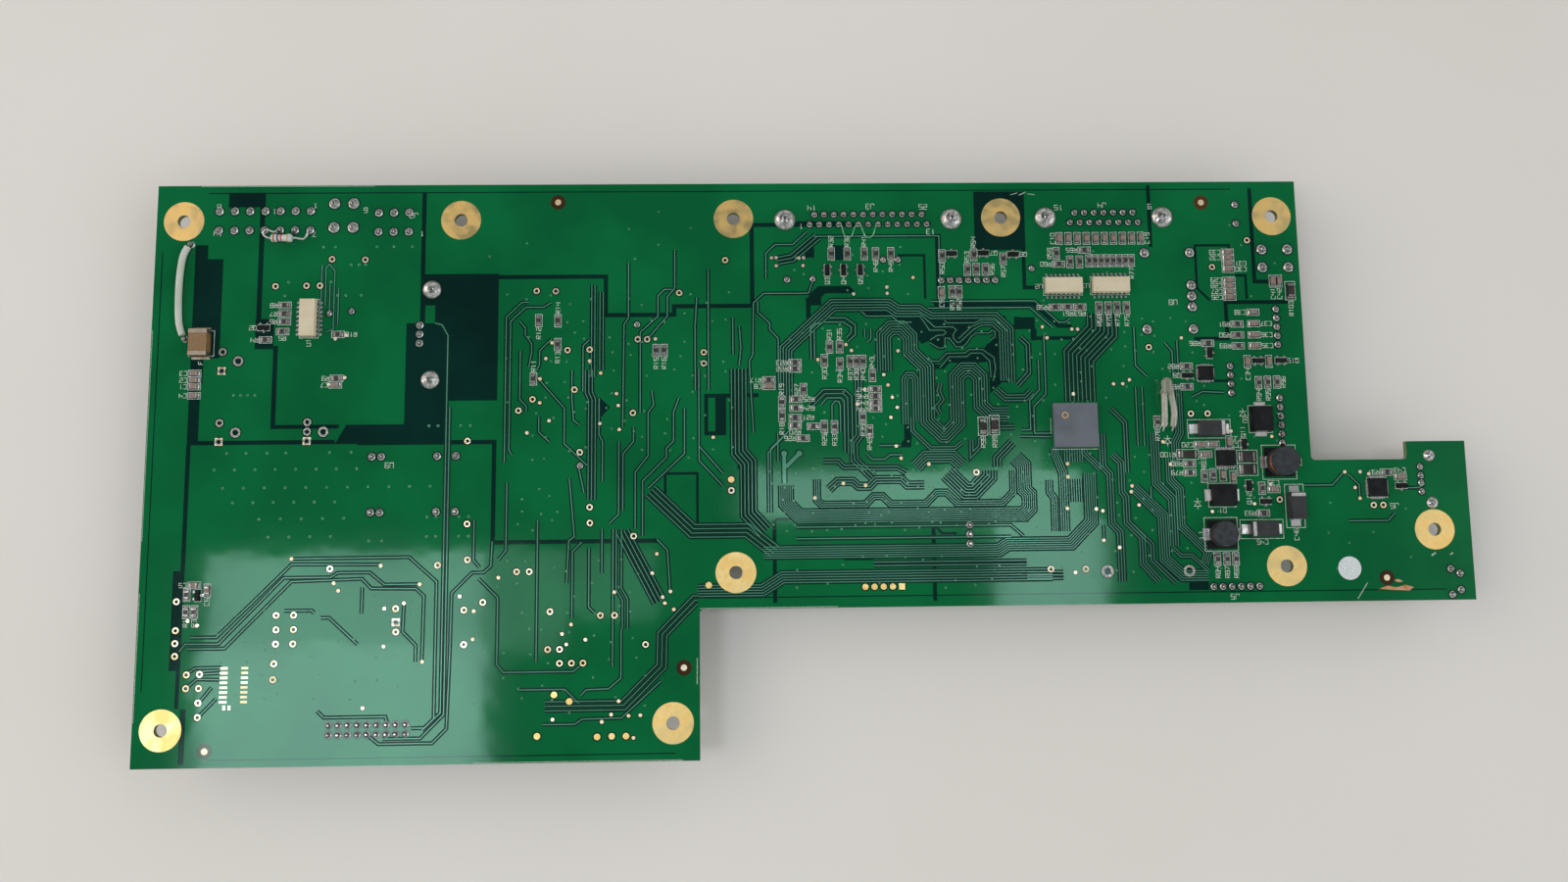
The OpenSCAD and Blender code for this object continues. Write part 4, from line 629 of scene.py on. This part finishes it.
track([(196, 121.9), (197.4, 120.6), (204.4, 120.6), (206.4, 118.8), (210, 118.8)],
      [(185.4, 119), (190.7, 119), (193, 117.6), (193, 116), (191.7, 114.6)],
      [(187, 120.2), (191.4, 120.2), (194.2, 118.2), (194.2, 115.4), (192, 113.4)],
      [(181.7, 108.4), (181.7, 117.4), (183, 118.6), (185, 118.6)], [(182.7, 108.6), (182.7, 116.4)],
      [(196.8, 117), (196.8, 114.7)], [(198.5, 117), (198.5, 114.2), (197.4, 113.2)])
bundle([(208.4, 90), (208.4, 102.5), (208.9, 103.1), (209.5, 103.1), (209.9, 102.5), (209.9, 91)],
       3, 0.72)
# length-matched tracks that go over two vias, then down, up and over to the processor
bundle([(203.9, 105), (203.9, 114.4), (204.9, 115.4), (206.3, 115.4), (207.6, 114), (207.6, 109.6),
        (212, 105.2), (212, 90.2), (217.2, 85), (219.4, 85), (224, 89.6), (224, 102.4), (225, 103.4),
        (225.9, 103.4), (226.9, 102.4), (226.9, 94.4), (230.6, 90.7), (236.5, 90.7)], 6, 0.74)
bundle([(217.2, 101.6), (216.6, 99.2), (217.6, 97), (215.8, 94.8), (217, 92.6)], 2, 0.8)
bundle([(209.9, 92), (209.9, 88.4), (214.6, 83.7), (221, 83.7), (223, 85.2)], 2, -0.74)
bundle([(232.6, 99), (235.4, 96.4), (241.6, 96.4), (243.6, 98.4)], 3, 0.8)
bundle([(238.8, 101), (242, 104.4), (242, 112), (240, 114)], 2, -0.9)
track([(245.2, 108), (245.2, 99.4), (242.4, 96.4), (242.4, 88.2), (239.8, 88.2)],
      [(247, 115), (247, 98.2), (243.5, 94.6), (243.5, 87.2), (248, 87.2)],
      [(239.4, 86.4), (248, 86.2)])
# arches left of the serpentine, round the small resistors
bundle([(191.7, 82), (191.7, 97.6), (190.4, 98.8), (185.4, 98.8), (181.6, 95)], 2, -1.15)
track([(190.7, 82.6), (190.7, 96.6), (189.9, 97.6), (185.9, 97.6), (184.2, 95.6)],
      [(187.3, 87), (187.3, 95.6), (188.2, 96.7), (189.2, 96.6), (189.6, 95.5), (189.6, 88)])
bundle([(193.9, 107), (193.9, 87.2), (192.4, 85.4), (192.4, 80), (197.6, 74.8)], 3, 0.85)
track([(200.3, 84.2), (206.2, 84.2)], [(196.6, 82), (198.2, 80.4), (201.6, 80.4), (203.2, 81.6),
      (206.6, 81.6)], [(170.2, 66), (170.2, 83.6), (175.3, 88.6)], [(172.2, 88), (172.2, 80)])
# two round lands, with a wide track from each
for x in (173.9, 178.1):
    gaps.disc(x, 82.2, 2.4)
    tracks.disc(x, 82.2, 1.6)
track([(173.9, 82.2), (173.9, 74)], [(178.1, 82.2), (174.3, 78.4)], width=1.0, moat=1.6)
# arches, bowls and steps of one bus nearer the lower edge
bundle([(209.2, 79.2), (212.4, 82.4), (221, 82.4), (224, 79.4)], 5, -0.72)
bundle([(217.4, 75), (223, 69.4), (227, 69.4), (232.2, 74.6), (232.2, 77)], 6, 0.8)
bundle([(172.6, 73.4), (172.6, 67.8), (177.2, 63.2), (240.4, 63.2), (243, 65.8), (243, 71),
        (241.7, 72.3), (241.7, 79), (239, 81.7)], 7, 0.56, width=THIN_W)
bundle([(182.2, 75), (182.2, 69), (183.8, 67.4), (196.4, 67.4), (198.6, 69.6), (200.6, 69.6),
        (202.8, 67.4), (213, 67.4), (216, 70.4), (218.2, 70.4), (221.2, 67.4), (234.2, 67.4),
        (237.6, 70.8), (237.6, 77)], 3, 0.6, width=THIN_W)
bundle([(186.6, 71.6), (188.8, 73.6), (192.4, 73.6), (194, 72.2), (197.6, 72.2), (199.4, 74),
        (205.8, 74), (207.4, 72.4), (212.4, 72.4)], 3, 0.75)
bundle([(184.6, 79.6), (188.6, 79.6), (190.2, 78), (193.4, 78), (198.6, 77.6), (205, 77.6),
        (207.4, 76.2)], 2, 0.8)
bundle([(225.4, 85.6), (225.4, 80.4), (228.6, 83.6), (228.6, 85.4), (231.8, 88.6), (238, 88.6)], 2, 0.8)
bundle([(233.6, 78), (233.6, 80), (237.8, 84.2)], 3, 0.85)
slit([(171.2, 64.2), (176.2, 64.2)], width=0.8)
track([(177, 61.9), (236, 61.9), (239.4, 58.8)], [(177, 58.75), (236, 58.75)])
bundle([(256.8, 76), (256.8, 63.2), (251.8, 58.2), (234.6, 58.2), (232, 56.6), (168, 56.6)], 6, 0.6)
bundle([(198, 51.2), (240, 51.2)], 2, 1.0)
bundle([(150, 43.5), (168, 43.5), (173.5, 46.9), (247, 46.9)], 5, 0.72)
bundle([(240, 47.2), (250, 47.2)], 3, 0.9)
# round the processor and the power parts
bundle([(261.4, 87), (261.4, 77.4), (263.2, 75.4), (263.2, 61.8), (265.4, 59.2), (265.4, 46)], 3, 0.75)
bundle([(264.4, 80.5), (266.4, 78.4), (266.4, 70.4), (267.4, 69), (267.4, 62), (271.4, 57.8),
        (271.4, 50.6), (275.8, 45.6)], 3, 0.75)
bundle([(264.8, 93.6), (268.4, 89.8), (268.4, 76)], 2, 0.8)
bundle([(269, 61.4), (274.4, 56), (274.4, 51.6), (280.6, 45.4)], 2, 0.8)
bundle([(275.8, 87), (275.8, 72.6), (280, 68.2), (280, 55.6)], 4, 0.7)
bundle([(279.8, 80), (279.8, 73.4), (282.2, 70.8), (282.2, 60.6), (289.2, 53.6), (288.2, 51)], 4, 0.65)
bundle([(283, 101), (283, 87.2), (281.6, 84.6), (281.6, 79)], 4, 0.65)
bundle([(269.6, 70.8), (276.9, 63.4), (276.9, 51.6), (282.6, 46.2), (290, 46.2)], 5, 0.65)
bundle([(280.2, 55), (282.6, 52.6), (285.6, 52.6), (290, 48.4)], 2, 0.7)
track([(272.5, 117), (272.5, 106), (275.5, 103)], [(281, 112.5), (283, 110), (283, 103)],
      [(284.5, 113), (284.5, 103)], [(288, 97), (291, 98.5), (297, 98.2)],
      [(272.2, 100), (272.2, 83.4)], [(274, 100), (274, 83.4)], [(275.2, 72), (275.2, 69)],
      [(261.6, 61.6), (261.6, 58)])
# below the processor: its lines come out in columns and turn into the long bundle
bundle([(246.4, 74.2), (246.4, 70.6), (247.6, 69), (247.6, 60)], 3, 0.6)
bundle([(248, 83), (248, 81.4), (250, 76), (250, 60)], 4, 0.62)
bundle([(251.6, 83), (251.6, 79)], 8, 0.7)
bundle([(253.2, 74.4), (253.2, 68)], 5, 0.66)
bundle([(256.4, 83), (256.4, 81.4), (261, 76.6)], 3, 0.7)
# from the couplers down to the processor
bundle([(259.5, 121), (259.5, 117.5), (252.6, 110.5), (252.6, 96)], 8, 1.15)
# on the ear
track([(330, 62), (341, 62), (343, 64)], [(318, 72), (326, 72), (329.5, 75.6)],
      [(333.5, 68.2), (333.5, 72), (330.5, 75)],
      [(345, 71), (350, 71), (352, 72)])

# ---------------- vias, test dots and lands

# rows of vias in the left quarter of the board
via_row(99.7, evenly(23.1, 28.9, 1.93))
via_row(83.7, [21.9, 27.1, 32.8, 37.9, 49.7, 55.5])
via_row(79.2, evenly(18.7, 57.2, 5.5))
via_row(74.2, evenly(21.2, 77, 5.6))
via_row(70.2, evenly(24, 51.5, 5.5))
via_row(65.7, evenly(31.3, 54.2, 5.7))
via_row(60.8, evenly(33.9, 50.8, 5.6))
via_row(59.5, [61, 64.5])
for y in (60.5, 65.8, 90.8):
    via_row(y, [76.5, 79, 85.2, 87.8])
via_row(141.3, [46.2, 49.5, 61, 65.7, 70.8])
via_row(136.2, [54, 56.2, 58])
via_row(131.3, [36.9, 48.6])
via_row(127.5, [36, 50.6, 52.8, 57])
# stitching vias scattered over the copper areas, given by their corners and the step
STITCHED = 0.75        # share of the places that have one
EASE = 0.15            # share of a step that stays clear on each side
for x0, y0, x1, y1, step in [
    (100, 61, 113, 76, 4.3), (20, 16, 80, 50, 5.2), (88, 12, 140, 56, 6.1), (96, 80, 165, 130, 5.4),
    (127, 134, 164, 156, 9.5), (88, 136, 122, 156, 11), (174, 84, 246, 122, 4.4),
    (168, 60, 246, 80, 3.7), (174, 126, 214, 142, 5.2), (244, 94, 296, 122, 4.6),
    (246, 46, 300, 86, 5.2), (296, 60, 318, 96, 5.6), (245, 122, 272, 146, 6.2),
    (320, 46, 350, 70, 7.5), (300, 100, 316, 156, 7.5), (176, 44, 244, 58, 5.3)]:
    for i in range(int((x1 - x0) / step)):
        for j in range(int((y1 - y0) / step)):
            if chance.random() < STITCHED:
                x = x0 + step * (i + EASE + (1 - 2 * EASE) * chance.random())
                y = y0 + step * (j + EASE + (1 - 2 * EASE) * chance.random())
                via(x, y, STITCH_W)

# test dots, each in a ring of bare laminate
DOT_W, DOT_GAP_W = 1.0, 1.5
for x, y in [
    (108.2, 109.3), (106.7, 103.6), (109.9, 113.7), (106.7, 96.9), (109.3, 91.9), (103.3, 88.6),
    (120.3, 108.5), (123.4, 105.1), (127.8, 99.3), (128.3, 96), (123.3, 91), (128.6, 89.3),
    (138.5, 114.6), (154.4, 86.9), (183.6, 108.4), (191.5, 112.6), (193, 110.9), (206, 110.7),
    (201.9, 104), (203, 101.1), (204.1, 97.6), (194.4, 95.8), (205.4, 94.8), (203.6, 92),
    (204.9, 84), (206.2, 80.6), (213.8, 78.9), (196.5, 99.9), (190.1, 73.8), (196.2, 73.2),
    (182.2, 69.9), (246.7, 117.2), (255, 116.5), (256.6, 116.5), (247.9, 114.1), (254.7, 98.2),
    (266.1, 100.9), (268.7, 100.9), (270.6, 102), (252.3, 78.6), (252.2, 75), (251.8, 66.3),
    (259.8, 66), (261.6, 65.5), (261.5, 57.4), (265.8, 55.4), (270, 72.3), (269.7, 70.7),
    (271.7, 67), (281, 78.2), (253.3, 48.7), (285.8, 113.8), (279.2, 84.5), (298.4, 87.3),
    (309.8, 85.7), (308.7, 72.4), (303.9, 67), (292, 65), (329.7, 75.6), (334, 75.6), (336.4, 75),
    (332.3, 71.2), (333.5, 68.2), (40.4, 54.9), (51.9, 48.2), (53.2, 46.2), (64.4, 52.8),
    (75, 47.7), (70.9, 42.6), (65.7, 41.3), (85.8, 44.3), (89.6, 40.3), (96.1, 49.2), (65.7, 31.2),
    (76.1, 27), (60.6, 15), (89.5, 32.8), (115.8, 36.4), (113.4, 33.9), (114.6, 31.1),
    (119.7, 32.3), (111.1, 11.3), (128.7, 15.9), (126.7, 12.4), (124.2, 10.5), (131.4, 12),
    (134.5, 12.1), (132.7, 6.2), (138.9, 55.1), (137.7, 49.9), (127.4, 44.9), (142.6, 44.9),
    (140.5, 43.4), (141.1, 41.8), (143.5, 40.1), (13.4, 38.6), (16, 37.4), (53.3, 116.3),
    (50.3, 115.3), (53.2, 104.4), (48.8, 102.5), (171, 137.5), (172.3, 137.5), (178.7, 137.4),
    (180, 137.4), (172.3, 135.2), (179.8, 135.2), (203.3, 128.9), (203.3, 127.1), (210.7, 131.6),
    (193.9, 127)]:
    gaps.disc(x, y, DOT_GAP_W)
    dots.disc(x, y, DOT_W)

# empty sixteen-lead footprint at the left, and the lands of an unfitted chip below it
LEAD_PITCH, HALF_LAND = 1.27, 0.3
for row in range(8):
    y = 26 - LEAD_PITCH * row
    dots.block(22.6, y - HALF_LAND, 24.6, y + HALF_LAND)
    dots.block(28.2, y - HALF_LAND, 30, y + HALF_LAND)
dots.block(23.6, 15, 24.3, 16.2)
dots.block(25, 15, 25.7, 16.2)

# ---------------- parts on the board, from the frame


def islands(node):
    """Each separate body of a CAD node as left, low, right and high edge, in board millimetres."""
    mesh = frame["nodes"][node].data
    # corners at one place are one corner, and each leads to another of its own body
    corners = [tuple(round(c / MM, 3) for c in v.co) for v in mesh.vertices]
    leads_to = {corner: corner for corner in corners}

    def root(corner):
        while leads_to[corner] != corner:
            leads_to[corner] = leads_to[leads_to[corner]]
            corner = leads_to[corner]
        return corner

    for edge in mesh.edges:
        one, other = (corners[v] for v in edge.vertices)
        leads_to[root(one)] = root(other)
    bodies = {}
    for corner in leads_to:
        bodies.setdefault(root(corner), []).append(corner)
    boxes = []
    for body in bodies.values():
        xs = [corner[0] - board_low.x / MM for corner in body]
        ys = [corner[1] - board_low.y / MM for corner in body]
        boxes.append((min(xs), min(ys), max(xs), max(ys)))
    return sorted(boxes)


def grown(box, dx, dy=None):
    """A box with a margin at its sides and at its ends."""
    dy = dx if dy is None else dy
    return box[0] - dx, box[1] - dy, box[2] + dx, box[3] + dy


def middle(box):
    return (box[0] + box[2]) / 2, (box[1] + box[3]) / 2


def apart(one, other):
    """Whether two boxes have a gap between them."""
    return one[2] < other[0] or other[2] < one[0] or one[3] < other[1] or other[3] < one[1]


chip_ends = islands("chip_ends")
strip_ends = islands("strip_terminals")


def whole(node, ends=chip_ends):
    """The bodies of a node, each with the metal ends that touch it."""
    chips = []
    for body in islands(node):
        parts = [body] + [end for end in ends if not apart(grown(body, 0.1), end)]
        chips.append((min(p[0] for p in parts), min(p[1] for p in parts),
                      max(p[2] for p in parts), max(p[3] for p in parts)))
    return chips


# soldered lands a little wider than what stands on them, and bare laminate round the holes
MASK_GAP = 0.7         # how much wider than a land the opening in the copper is
CHIP_GAP = 0.25        # bare laminate past a chip's solder ends
CHIP_LAND = 0.02       # solder past them
LEAD_LAND = 0.12       # solder past a lead
TINNED_FROM = 2        # the width from which an empty land was tinned with the rest of the board
for box in chip_ends:
    gaps.block(*grown(box, CHIP_GAP))
    pads.block(*grown(box, CHIP_LAND))
for node in ("transistor_leads", "coupler_leads", "controller_leads", "drum_terminals",
             "strip_terminals"):
    for box in islands(node):
        pads.block(*grown(box, LEAD_LAND))
empty = islands("hole_lands") + islands("test_pads")
for box in islands("solder_joints") + empty:
    gaps.disc(*middle(box), box[2] - box[0] + MASK_GAP, 16)
for box in empty:
    width = box[2] - box[0]
    if width > TINNED_FROM:
        tinned.ring(*middle(box), width - 0.05, width * 0.6)

# ---------------- markings

LINE = 0.14            # width of a printed line
LETTER_H = 1.2
CONNECTOR_LETTER_H = 1.4
CLEAR = 0.35           # between a mark and what it stands beside
OVERLAP = 0.3          # how much of that room two marks may share
taken = []             # boxes that no designator may cover

# stroke letters and figures on a grid: each pair is a place across and up, a comma lifts the pen
GRID_W, GRID_H = 4, 6
GLYPHS = {
    "0": "00 40 46 06 00", "1": "15 26 20", "2": "06 46 43 03 00 40", "3": "06 46 40 00,13 43",
    "4": "06 03 43,46 40", "5": "46 06 03 43 40 00", "6": "46 06 00 40 43 03", "7": "06 46 10",
    "8": "00 40 46 06 00,03 43", "9": "43 03 06 46 40 00", "R": "00 06 46 43 03,13 40",
    "C": "46 06 00 40", "Q": "00 40 46 06 00,22 50", "U": "06 00 40 46", "L": "06 00 40",
    "D": "00 06 36 45 41 30 00", "J": "46 40 00 02", "F": "00 06 46,03 33"}
ADVANCE = 5.6          # grid units from one letter to the next


def written_width(words, height=LETTER_H):
    return ((len(words) - 1) * ADVANCE + GRID_W) * height / GRID_H


def write(words, x, y, angle=180, height=LETTER_H):
    """Plain stroke lettering centred on a place, turned by an angle in degrees."""
    unit = height / GRID_H
    turn = Matrix.Rotation(math.radians(angle), 2)
    for i, letter in enumerate(words):
        left = ADVANCE * i * unit - written_width(words, height) / 2
        for line in GLYPHS[letter].split(","):
            pen = [turn @ Vector((left + int(across) * unit, (int(up) - GRID_H / 2) * unit))
                   for across, up in line.split()]
            ink.stroke([(x + p.x, y + p.y) for p in pen], LINE)


def designate(words, box):
    """Writes a part's own number beside its outline, where there is room."""
    x0, y0, x1, y1 = box
    x, y = middle(box)
    far, near = written_width(words) / 2 + CLEAR, LETTER_H / 2 + CLEAR
    if y1 - y0 > x1 - x0:
        places = [(x, y0 - far, 90), (x, y1 + far, 90), (x0 - near, y, 90), (x1 + near, y, 90)]
    else:
        places = [(x0 - far, y, 180), (x1 + far, y, 180), (x, y0 - near, 180), (x, y1 + near, 180)]
    for px, py, angle in places:
        dx, dy = (far, near) if angle == 180 else (near, far)
        room = grown((px, py, px, py), dx - OVERLAP, dy - OVERLAP)
        if all(apart(room, other) for other in taken):
            write(words, px, py, angle)
            taken.append(room)
            return


# a part's letter, its bodies and how far outside them the outline is printed
outlined = [("R", whole("chip_resistor_bodies"), 0.28), ("C", whole("chip_capacitor_bodies"), 0.28),
            ("R", whole("large_chip_bodies"), 0.5), ("Q", islands("transistor_bodies"), 0.2),
            ("U", islands("coupler_bodies"), 0.3), ("U", islands("controller_bodies"), 0.25),
            ("D", islands("rectifier_bodies"), 0.35), ("L", islands("drum_bases"), 0.7),
            ("C", whole("tantalum_bodies", strip_ends), 0.45),
            ("F", islands("surface_fuse_body"), 1.0)]
for node in ("transistor_leads", "coupler_leads", "controller_leads", "processor_base",
             "strip_terminals", "solder_joints", "solder_domes", "mounting_lands", "hole_lands",
             "test_pads", "round_label", "lamp_sleeves", "jumper_sleeve", "leaded_resistor_body"):
    taken += islands(node)
for letter, boxes, margin in outlined:
    taken += [grown(box, margin) for box in boxes]
used = {}
for letter, boxes, margin in outlined:
    for box in boxes:
        used[letter] = used.get(letter, 0) + 1
        ink.box(*grown(box, margin), LINE)
        designate(letter + str(used[letter]), grown(box, margin))

# pin numbers at the ends of the connector rows, and the connectors' and converters' own numbers
for words, x, y in [("14", 17, 145.4), ("8", 17, 152.9), ("1", 43.6, 153.2), ("7", 43.6, 145),
                    ("6", 57.6, 151.8), ("1", 73.4, 145), ("14", 182.5, 151.9), ("25", 214, 152),
                    ("13", 216, 144.8), ("1", 179.4, 146.6), ("9", 278.6, 151.8), ("15", 252.5, 151.6),
                    ("J1", 33, 151.6), ("J2", 71, 150.2), ("J3", 199, 152.2), ("J4", 265, 152.2),
                    ("J5", 297, 41.6), ("J6", 343, 66), ("U9", 66, 80), ("U8", 284, 124)]:
    write(words, x, y, height=CONNECTOR_LETTER_H)
# polarity marks of the two rectifiers and the lamp: a bar, a triangle and two leads
for x, y in [(302, 92), (288, 67), (280.5, 84.6)]:
    for route in [[(-1, 0.8), (1, 0.8)], [(0, 0.8), (-0.9, -0.5), (0.9, -0.5), (0, 0.8)],
                  [(0, 1.7), (0, 0.8)], [(0, -0.5), (0, -1.4)]]:
        ink.stroke([(x + dx, y + dy) for dx, dy in route], LINE)
# corner marks of the processor, and the first-lead ring on its moulding
px0, py0, px1, py1 = islands("processor_base")[0]
ink.stroke([(px0 - 0.6, py0 + 3.8), (px0 - 0.6, py0 + 8)], LINE)
ink.stroke([(px0 - 0.4, py0 - 0.6), (px1 + 0.4, py0 - 0.6)], LINE)


def top_of(node):
    """The height of a node's top above the board's soldered face."""
    return (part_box(node)[1].z - board_high.z) / MM


INK_LIFT = 0.01
ring_mark = Sheet("first_lead_ring", laser_mark, "processor_moulding",
                  top_of("processor_body") + INK_LIFT)
ring_mark.ring(px0 + 3, py1 - 3.2, 1.9, 1.2)
# the band at the positive end of each tantalum part
BAND_IN, BAND_END = 0.2, 1.1
bands = Sheet("polarity_bands", band_ink, "tantalum_moulding",
              top_of("tantalum_bodies") + INK_LIFT)
for (x0, y0, x1, y1), end in zip(islands("tantalum_bodies"), ("right", "left", "top")):
    if end == "top":
        y0 = y1 - BAND_END - BAND_IN
    elif end == "left":
        x1 = x0 + BAND_END + BAND_IN
    else:
        x0 = x1 - BAND_END - BAND_IN
    bands.block(*grown((x0, y0, x1, y1), -BAND_IN))

# alignment targets: a gold dot in a round window in the mask
TARGET_W, WINDOW_W = 1.7, 4.2
for x, y in [(111.2, 153.8), (293.4, 152.9), (19.3, 4.3), (146.2, 24.5), (339.5, 46.3)]:
    windows.disc(x, y, WINDOW_W, 28)
    dots.disc(x, y, TARGET_W, 20)

# wear along the edges: scraped mask, and copper bared at one corner
bared.face([(337, 43.2), (339.5, 44.1), (342, 43.6), (344.6, 44.3), (346.8, 43.6), (345.5, 42.7),
            (341, 42.9)])
bared.face([(341.4, 45.6), (342.6, 45.9), (344, 45.2), (342.4, 45)])
for route, width in [([(239, 155.4), (241, 156)], 0.2), ([(241.4, 155.3), (243.4, 156.2)], 0.25),
                     ([(243.8, 155.7), (246, 155.4)], 0.2), ([(149.75, 20), (149.8, 27)], 0.25),
                     ([(331, 40.6), (334, 45)], 0.25), ([(0.25, 12), (0.3, 46)], 0.2),
                     ([(0.25, 60), (0.3, 118)], 0.15), ([(150.6, 40.2), (188, 40.3)], 0.2),
                     ([(12, 158.8), (60, 158.75)], 0.15), ([(352.4, 52.2), (353.6, 53)], 0.5),
                     ([(357.6, 52.4), (358.4, 52.9)], 0.4), ([(90, 0.3), (146, 0.25)], 0.2)]:
    worn.stroke(route, width)

# on the connector side: a few gaps between copper areas, and outlines round the large parts
under_gaps = Sheet("underside_gaps", bare_laminate_and_bore_shade, "laminate", 0.004, underside=True)
under_ink = Sheet("underside_markings", marking_ink, "paper", 0.02, underside=True)
for route in [[(20, 130), (20, 60), (60, 20), (150, 20)], [(100, 140), (100, 70), (160, 60)],
              [(180, 130), (240, 130), (240, 60), (340, 60)], [(170, 47), (300, 47), (335, 76)]]:
    under_gaps.stroke(route, MOAT_W)
UNDER_MARGIN, UNDER_LINE = 0.6, 0.2
for node in ("converter_cases", "line_chokes", "heat_sink", "switch_body"):
    for box in islands(node):
        under_ink.box(*grown(box, UNDER_MARGIN), UNDER_LINE)

for sheet in (gaps, moats, tracks, pads, tinned, windows, dots, vias, bores, ink, bared, worn,
              ring_mark, bands, under_gaps, under_ink):
    sheet.lay()

# ---------------- camera, light and floor

CAMERA_X, CAMERA_Y, CAMERA_H = 166.3, 49, 321.6
CAMERA = on_board(CAMERA_X, CAMERA_Y, CAMERA_H)
AIM = on_board(173.9, 85.7)
ROLL = math.radians(-0.69)
camera = bpy.data.objects.new("camera", bpy.data.cameras.new("camera"))
camera.data.lens, camera.data.sensor_width = 26.95, 36
camera.data.clip_start, camera.data.clip_end = 0.01, 20
ahead = (AIM - CAMERA).normalized()
across = ahead.cross(Vector((0, 1, 0))).normalized()
turn = Matrix((across, across.cross(ahead), -ahead)).transposed() @ Matrix.Rotation(ROLL, 3, "Z")
camera.matrix_world = Matrix.Translation(CAMERA) @ turn.to_4x4()
bpy.context.scene.collection.objects.link(camera)
bpy.context.scene.camera = camera


def lamp(name, where, aim, wide, deep, watts, tint):
    """A soft panel of light, wide and deep in metres, that faces a point."""
    light = bpy.data.lights.new(name, "AREA")
    light.shape, light.size, light.size_y = "RECTANGLE", wide, deep
    light.energy, light.color = watts, colour(tint)[:3]
    piece = bpy.data.objects.new(name, light)
    turned = (aim - where).to_track_quat("-Z", "Y").to_matrix().to_4x4()
    piece.matrix_world = Matrix.Translation(where) @ turned
    bpy.context.scene.collection.objects.link(piece)


WINDOW_H = 900         # height of the window over the board
MIRROR = 1 + WINDOW_H / CAMERA_H


def mirrored(x, y):
    """Where a light at the window's height has to be to show in the board at this place."""
    return on_board(CAMERA_X + (x - CAMERA_X) * MIRROR, CAMERA_Y + (y - CAMERA_Y) * MIRROR,
                    WINDOW_H)


def window_pane(name, x0, y0, x1, y1, brightness):
    """One pane of the window, at the place where the board mirrors it."""
    low, high = mirrored(x0, y0), mirrored(x1, y1)
    wide, deep = high.x - low.x, high.y - low.y
    centre = (low + high) / 2
    lamp(name, centre, centre - Vector((0, 0, 1)), wide, deep, brightness * math.pi * wide * deep,
         "f6fbff")


window_pane("window_left_low", 16, -10, 93, 32, 8.9)
window_pane("window_left", 18, 32, 92, 56, 6.5)
window_pane("window_edge", 92, 30, 114, 57, 2.05)
window_pane("window_frame", 114, 38, 139, 57, 1.55)
window_pane("window_right", 163, 64, 256, 77, 6.85)
window_pane("window_post", 235, 77, 245, 86, 2.6)
window_pane("window_far_right", 231, 36, 262, 64, 7.2)
# the warmer and the cooler side of the room
PANEL_W = 3.6          # metres
lamp("left_panel", on_board(-3600, 700, 2300), on_board(150, 80), PANEL_W, PANEL_W, 74, "ffece0")
lamp("right_panel", on_board(3900, -900, 2300), on_board(180, 80), PANEL_W, PANEL_W, 44, "f6f8ff")

# a pale room up to head height, under a darker ceiling that leans a little to the left
CEILING_LEAN = (-0.14, 0.06, 0.988)
world = bpy.data.worlds.new("studio")
bpy.context.scene.world = world
world.use_nodes = True
sky = world.node_tree
outward = add(sky, "TexCoord", {}, out="Generated")
rise = add(sky, "VectorMath", {0: outward, 1: CEILING_LEAN}, out="Value",
           operation="DOT_PRODUCT")
overhead = add(sky, "MapRange", {"Value": rise, "From Min": 0.66, "From Max": 0.82})
room = add(sky, "Mix", {"Factor_Float": overhead, "A_Color": "f4f2ee", "B_Color": "5e6060"},
           out=2, data_type="RGBA")
feed(sky, sky.nodes["Background"].inputs["Color"], room)
bpy.context.scene.view_settings.view_transform = "Standard"


def ribbed_sheet():
    """A matt white plastic sheet. Extrusion leaves faint long ribs about 57 mm apart, and it
    takes on a warm tint with age."""
    material, tree, skin, where = start("ribbed_white_sheet")
    tone, patch = mottle(tree, where, "d5d4d1", "d2d1cd", 160.0)
    # the bands of a wave texture lie a twentieth of a full turn apart at a scale of 1
    ribs = add(tree, "TexWave",
               {"Vector": where, "Scale": per(56.55) * math.tau / 20, "Distortion": 1.0},
               out="Fac", bands_direction="Y")
    dress(tree, skin, Base_Color=tone, Specular_IOR_Level=0.15,
          Roughness=add(tree, "MapRange", {"Value": patch, "To Min": 0.74, "To Max": 0.8}),
          Normal=add(tree, "Bump", {"Height": ribs, "Distance": 0.02 * MM}))
    return material


REACH = 2.2            # metres from the frame's origin to each edge of the floor
FLOOR_Z = cad_box[0].z - 0.05 * MM
corners = [(-REACH, -REACH), (REACH, -REACH), (REACH, REACH), (-REACH, REACH)]
floor_mesh = bpy.data.meshes.new("floor")
floor_mesh.from_pydata([(x, y, FLOOR_Z) for x, y in corners], [], [(0, 1, 2, 3)])
floor_mesh.materials.append(ribbed_sheet())
floor = bpy.data.objects.new("floor", floor_mesh)
bpy.context.scene.collection.objects.link(floor)
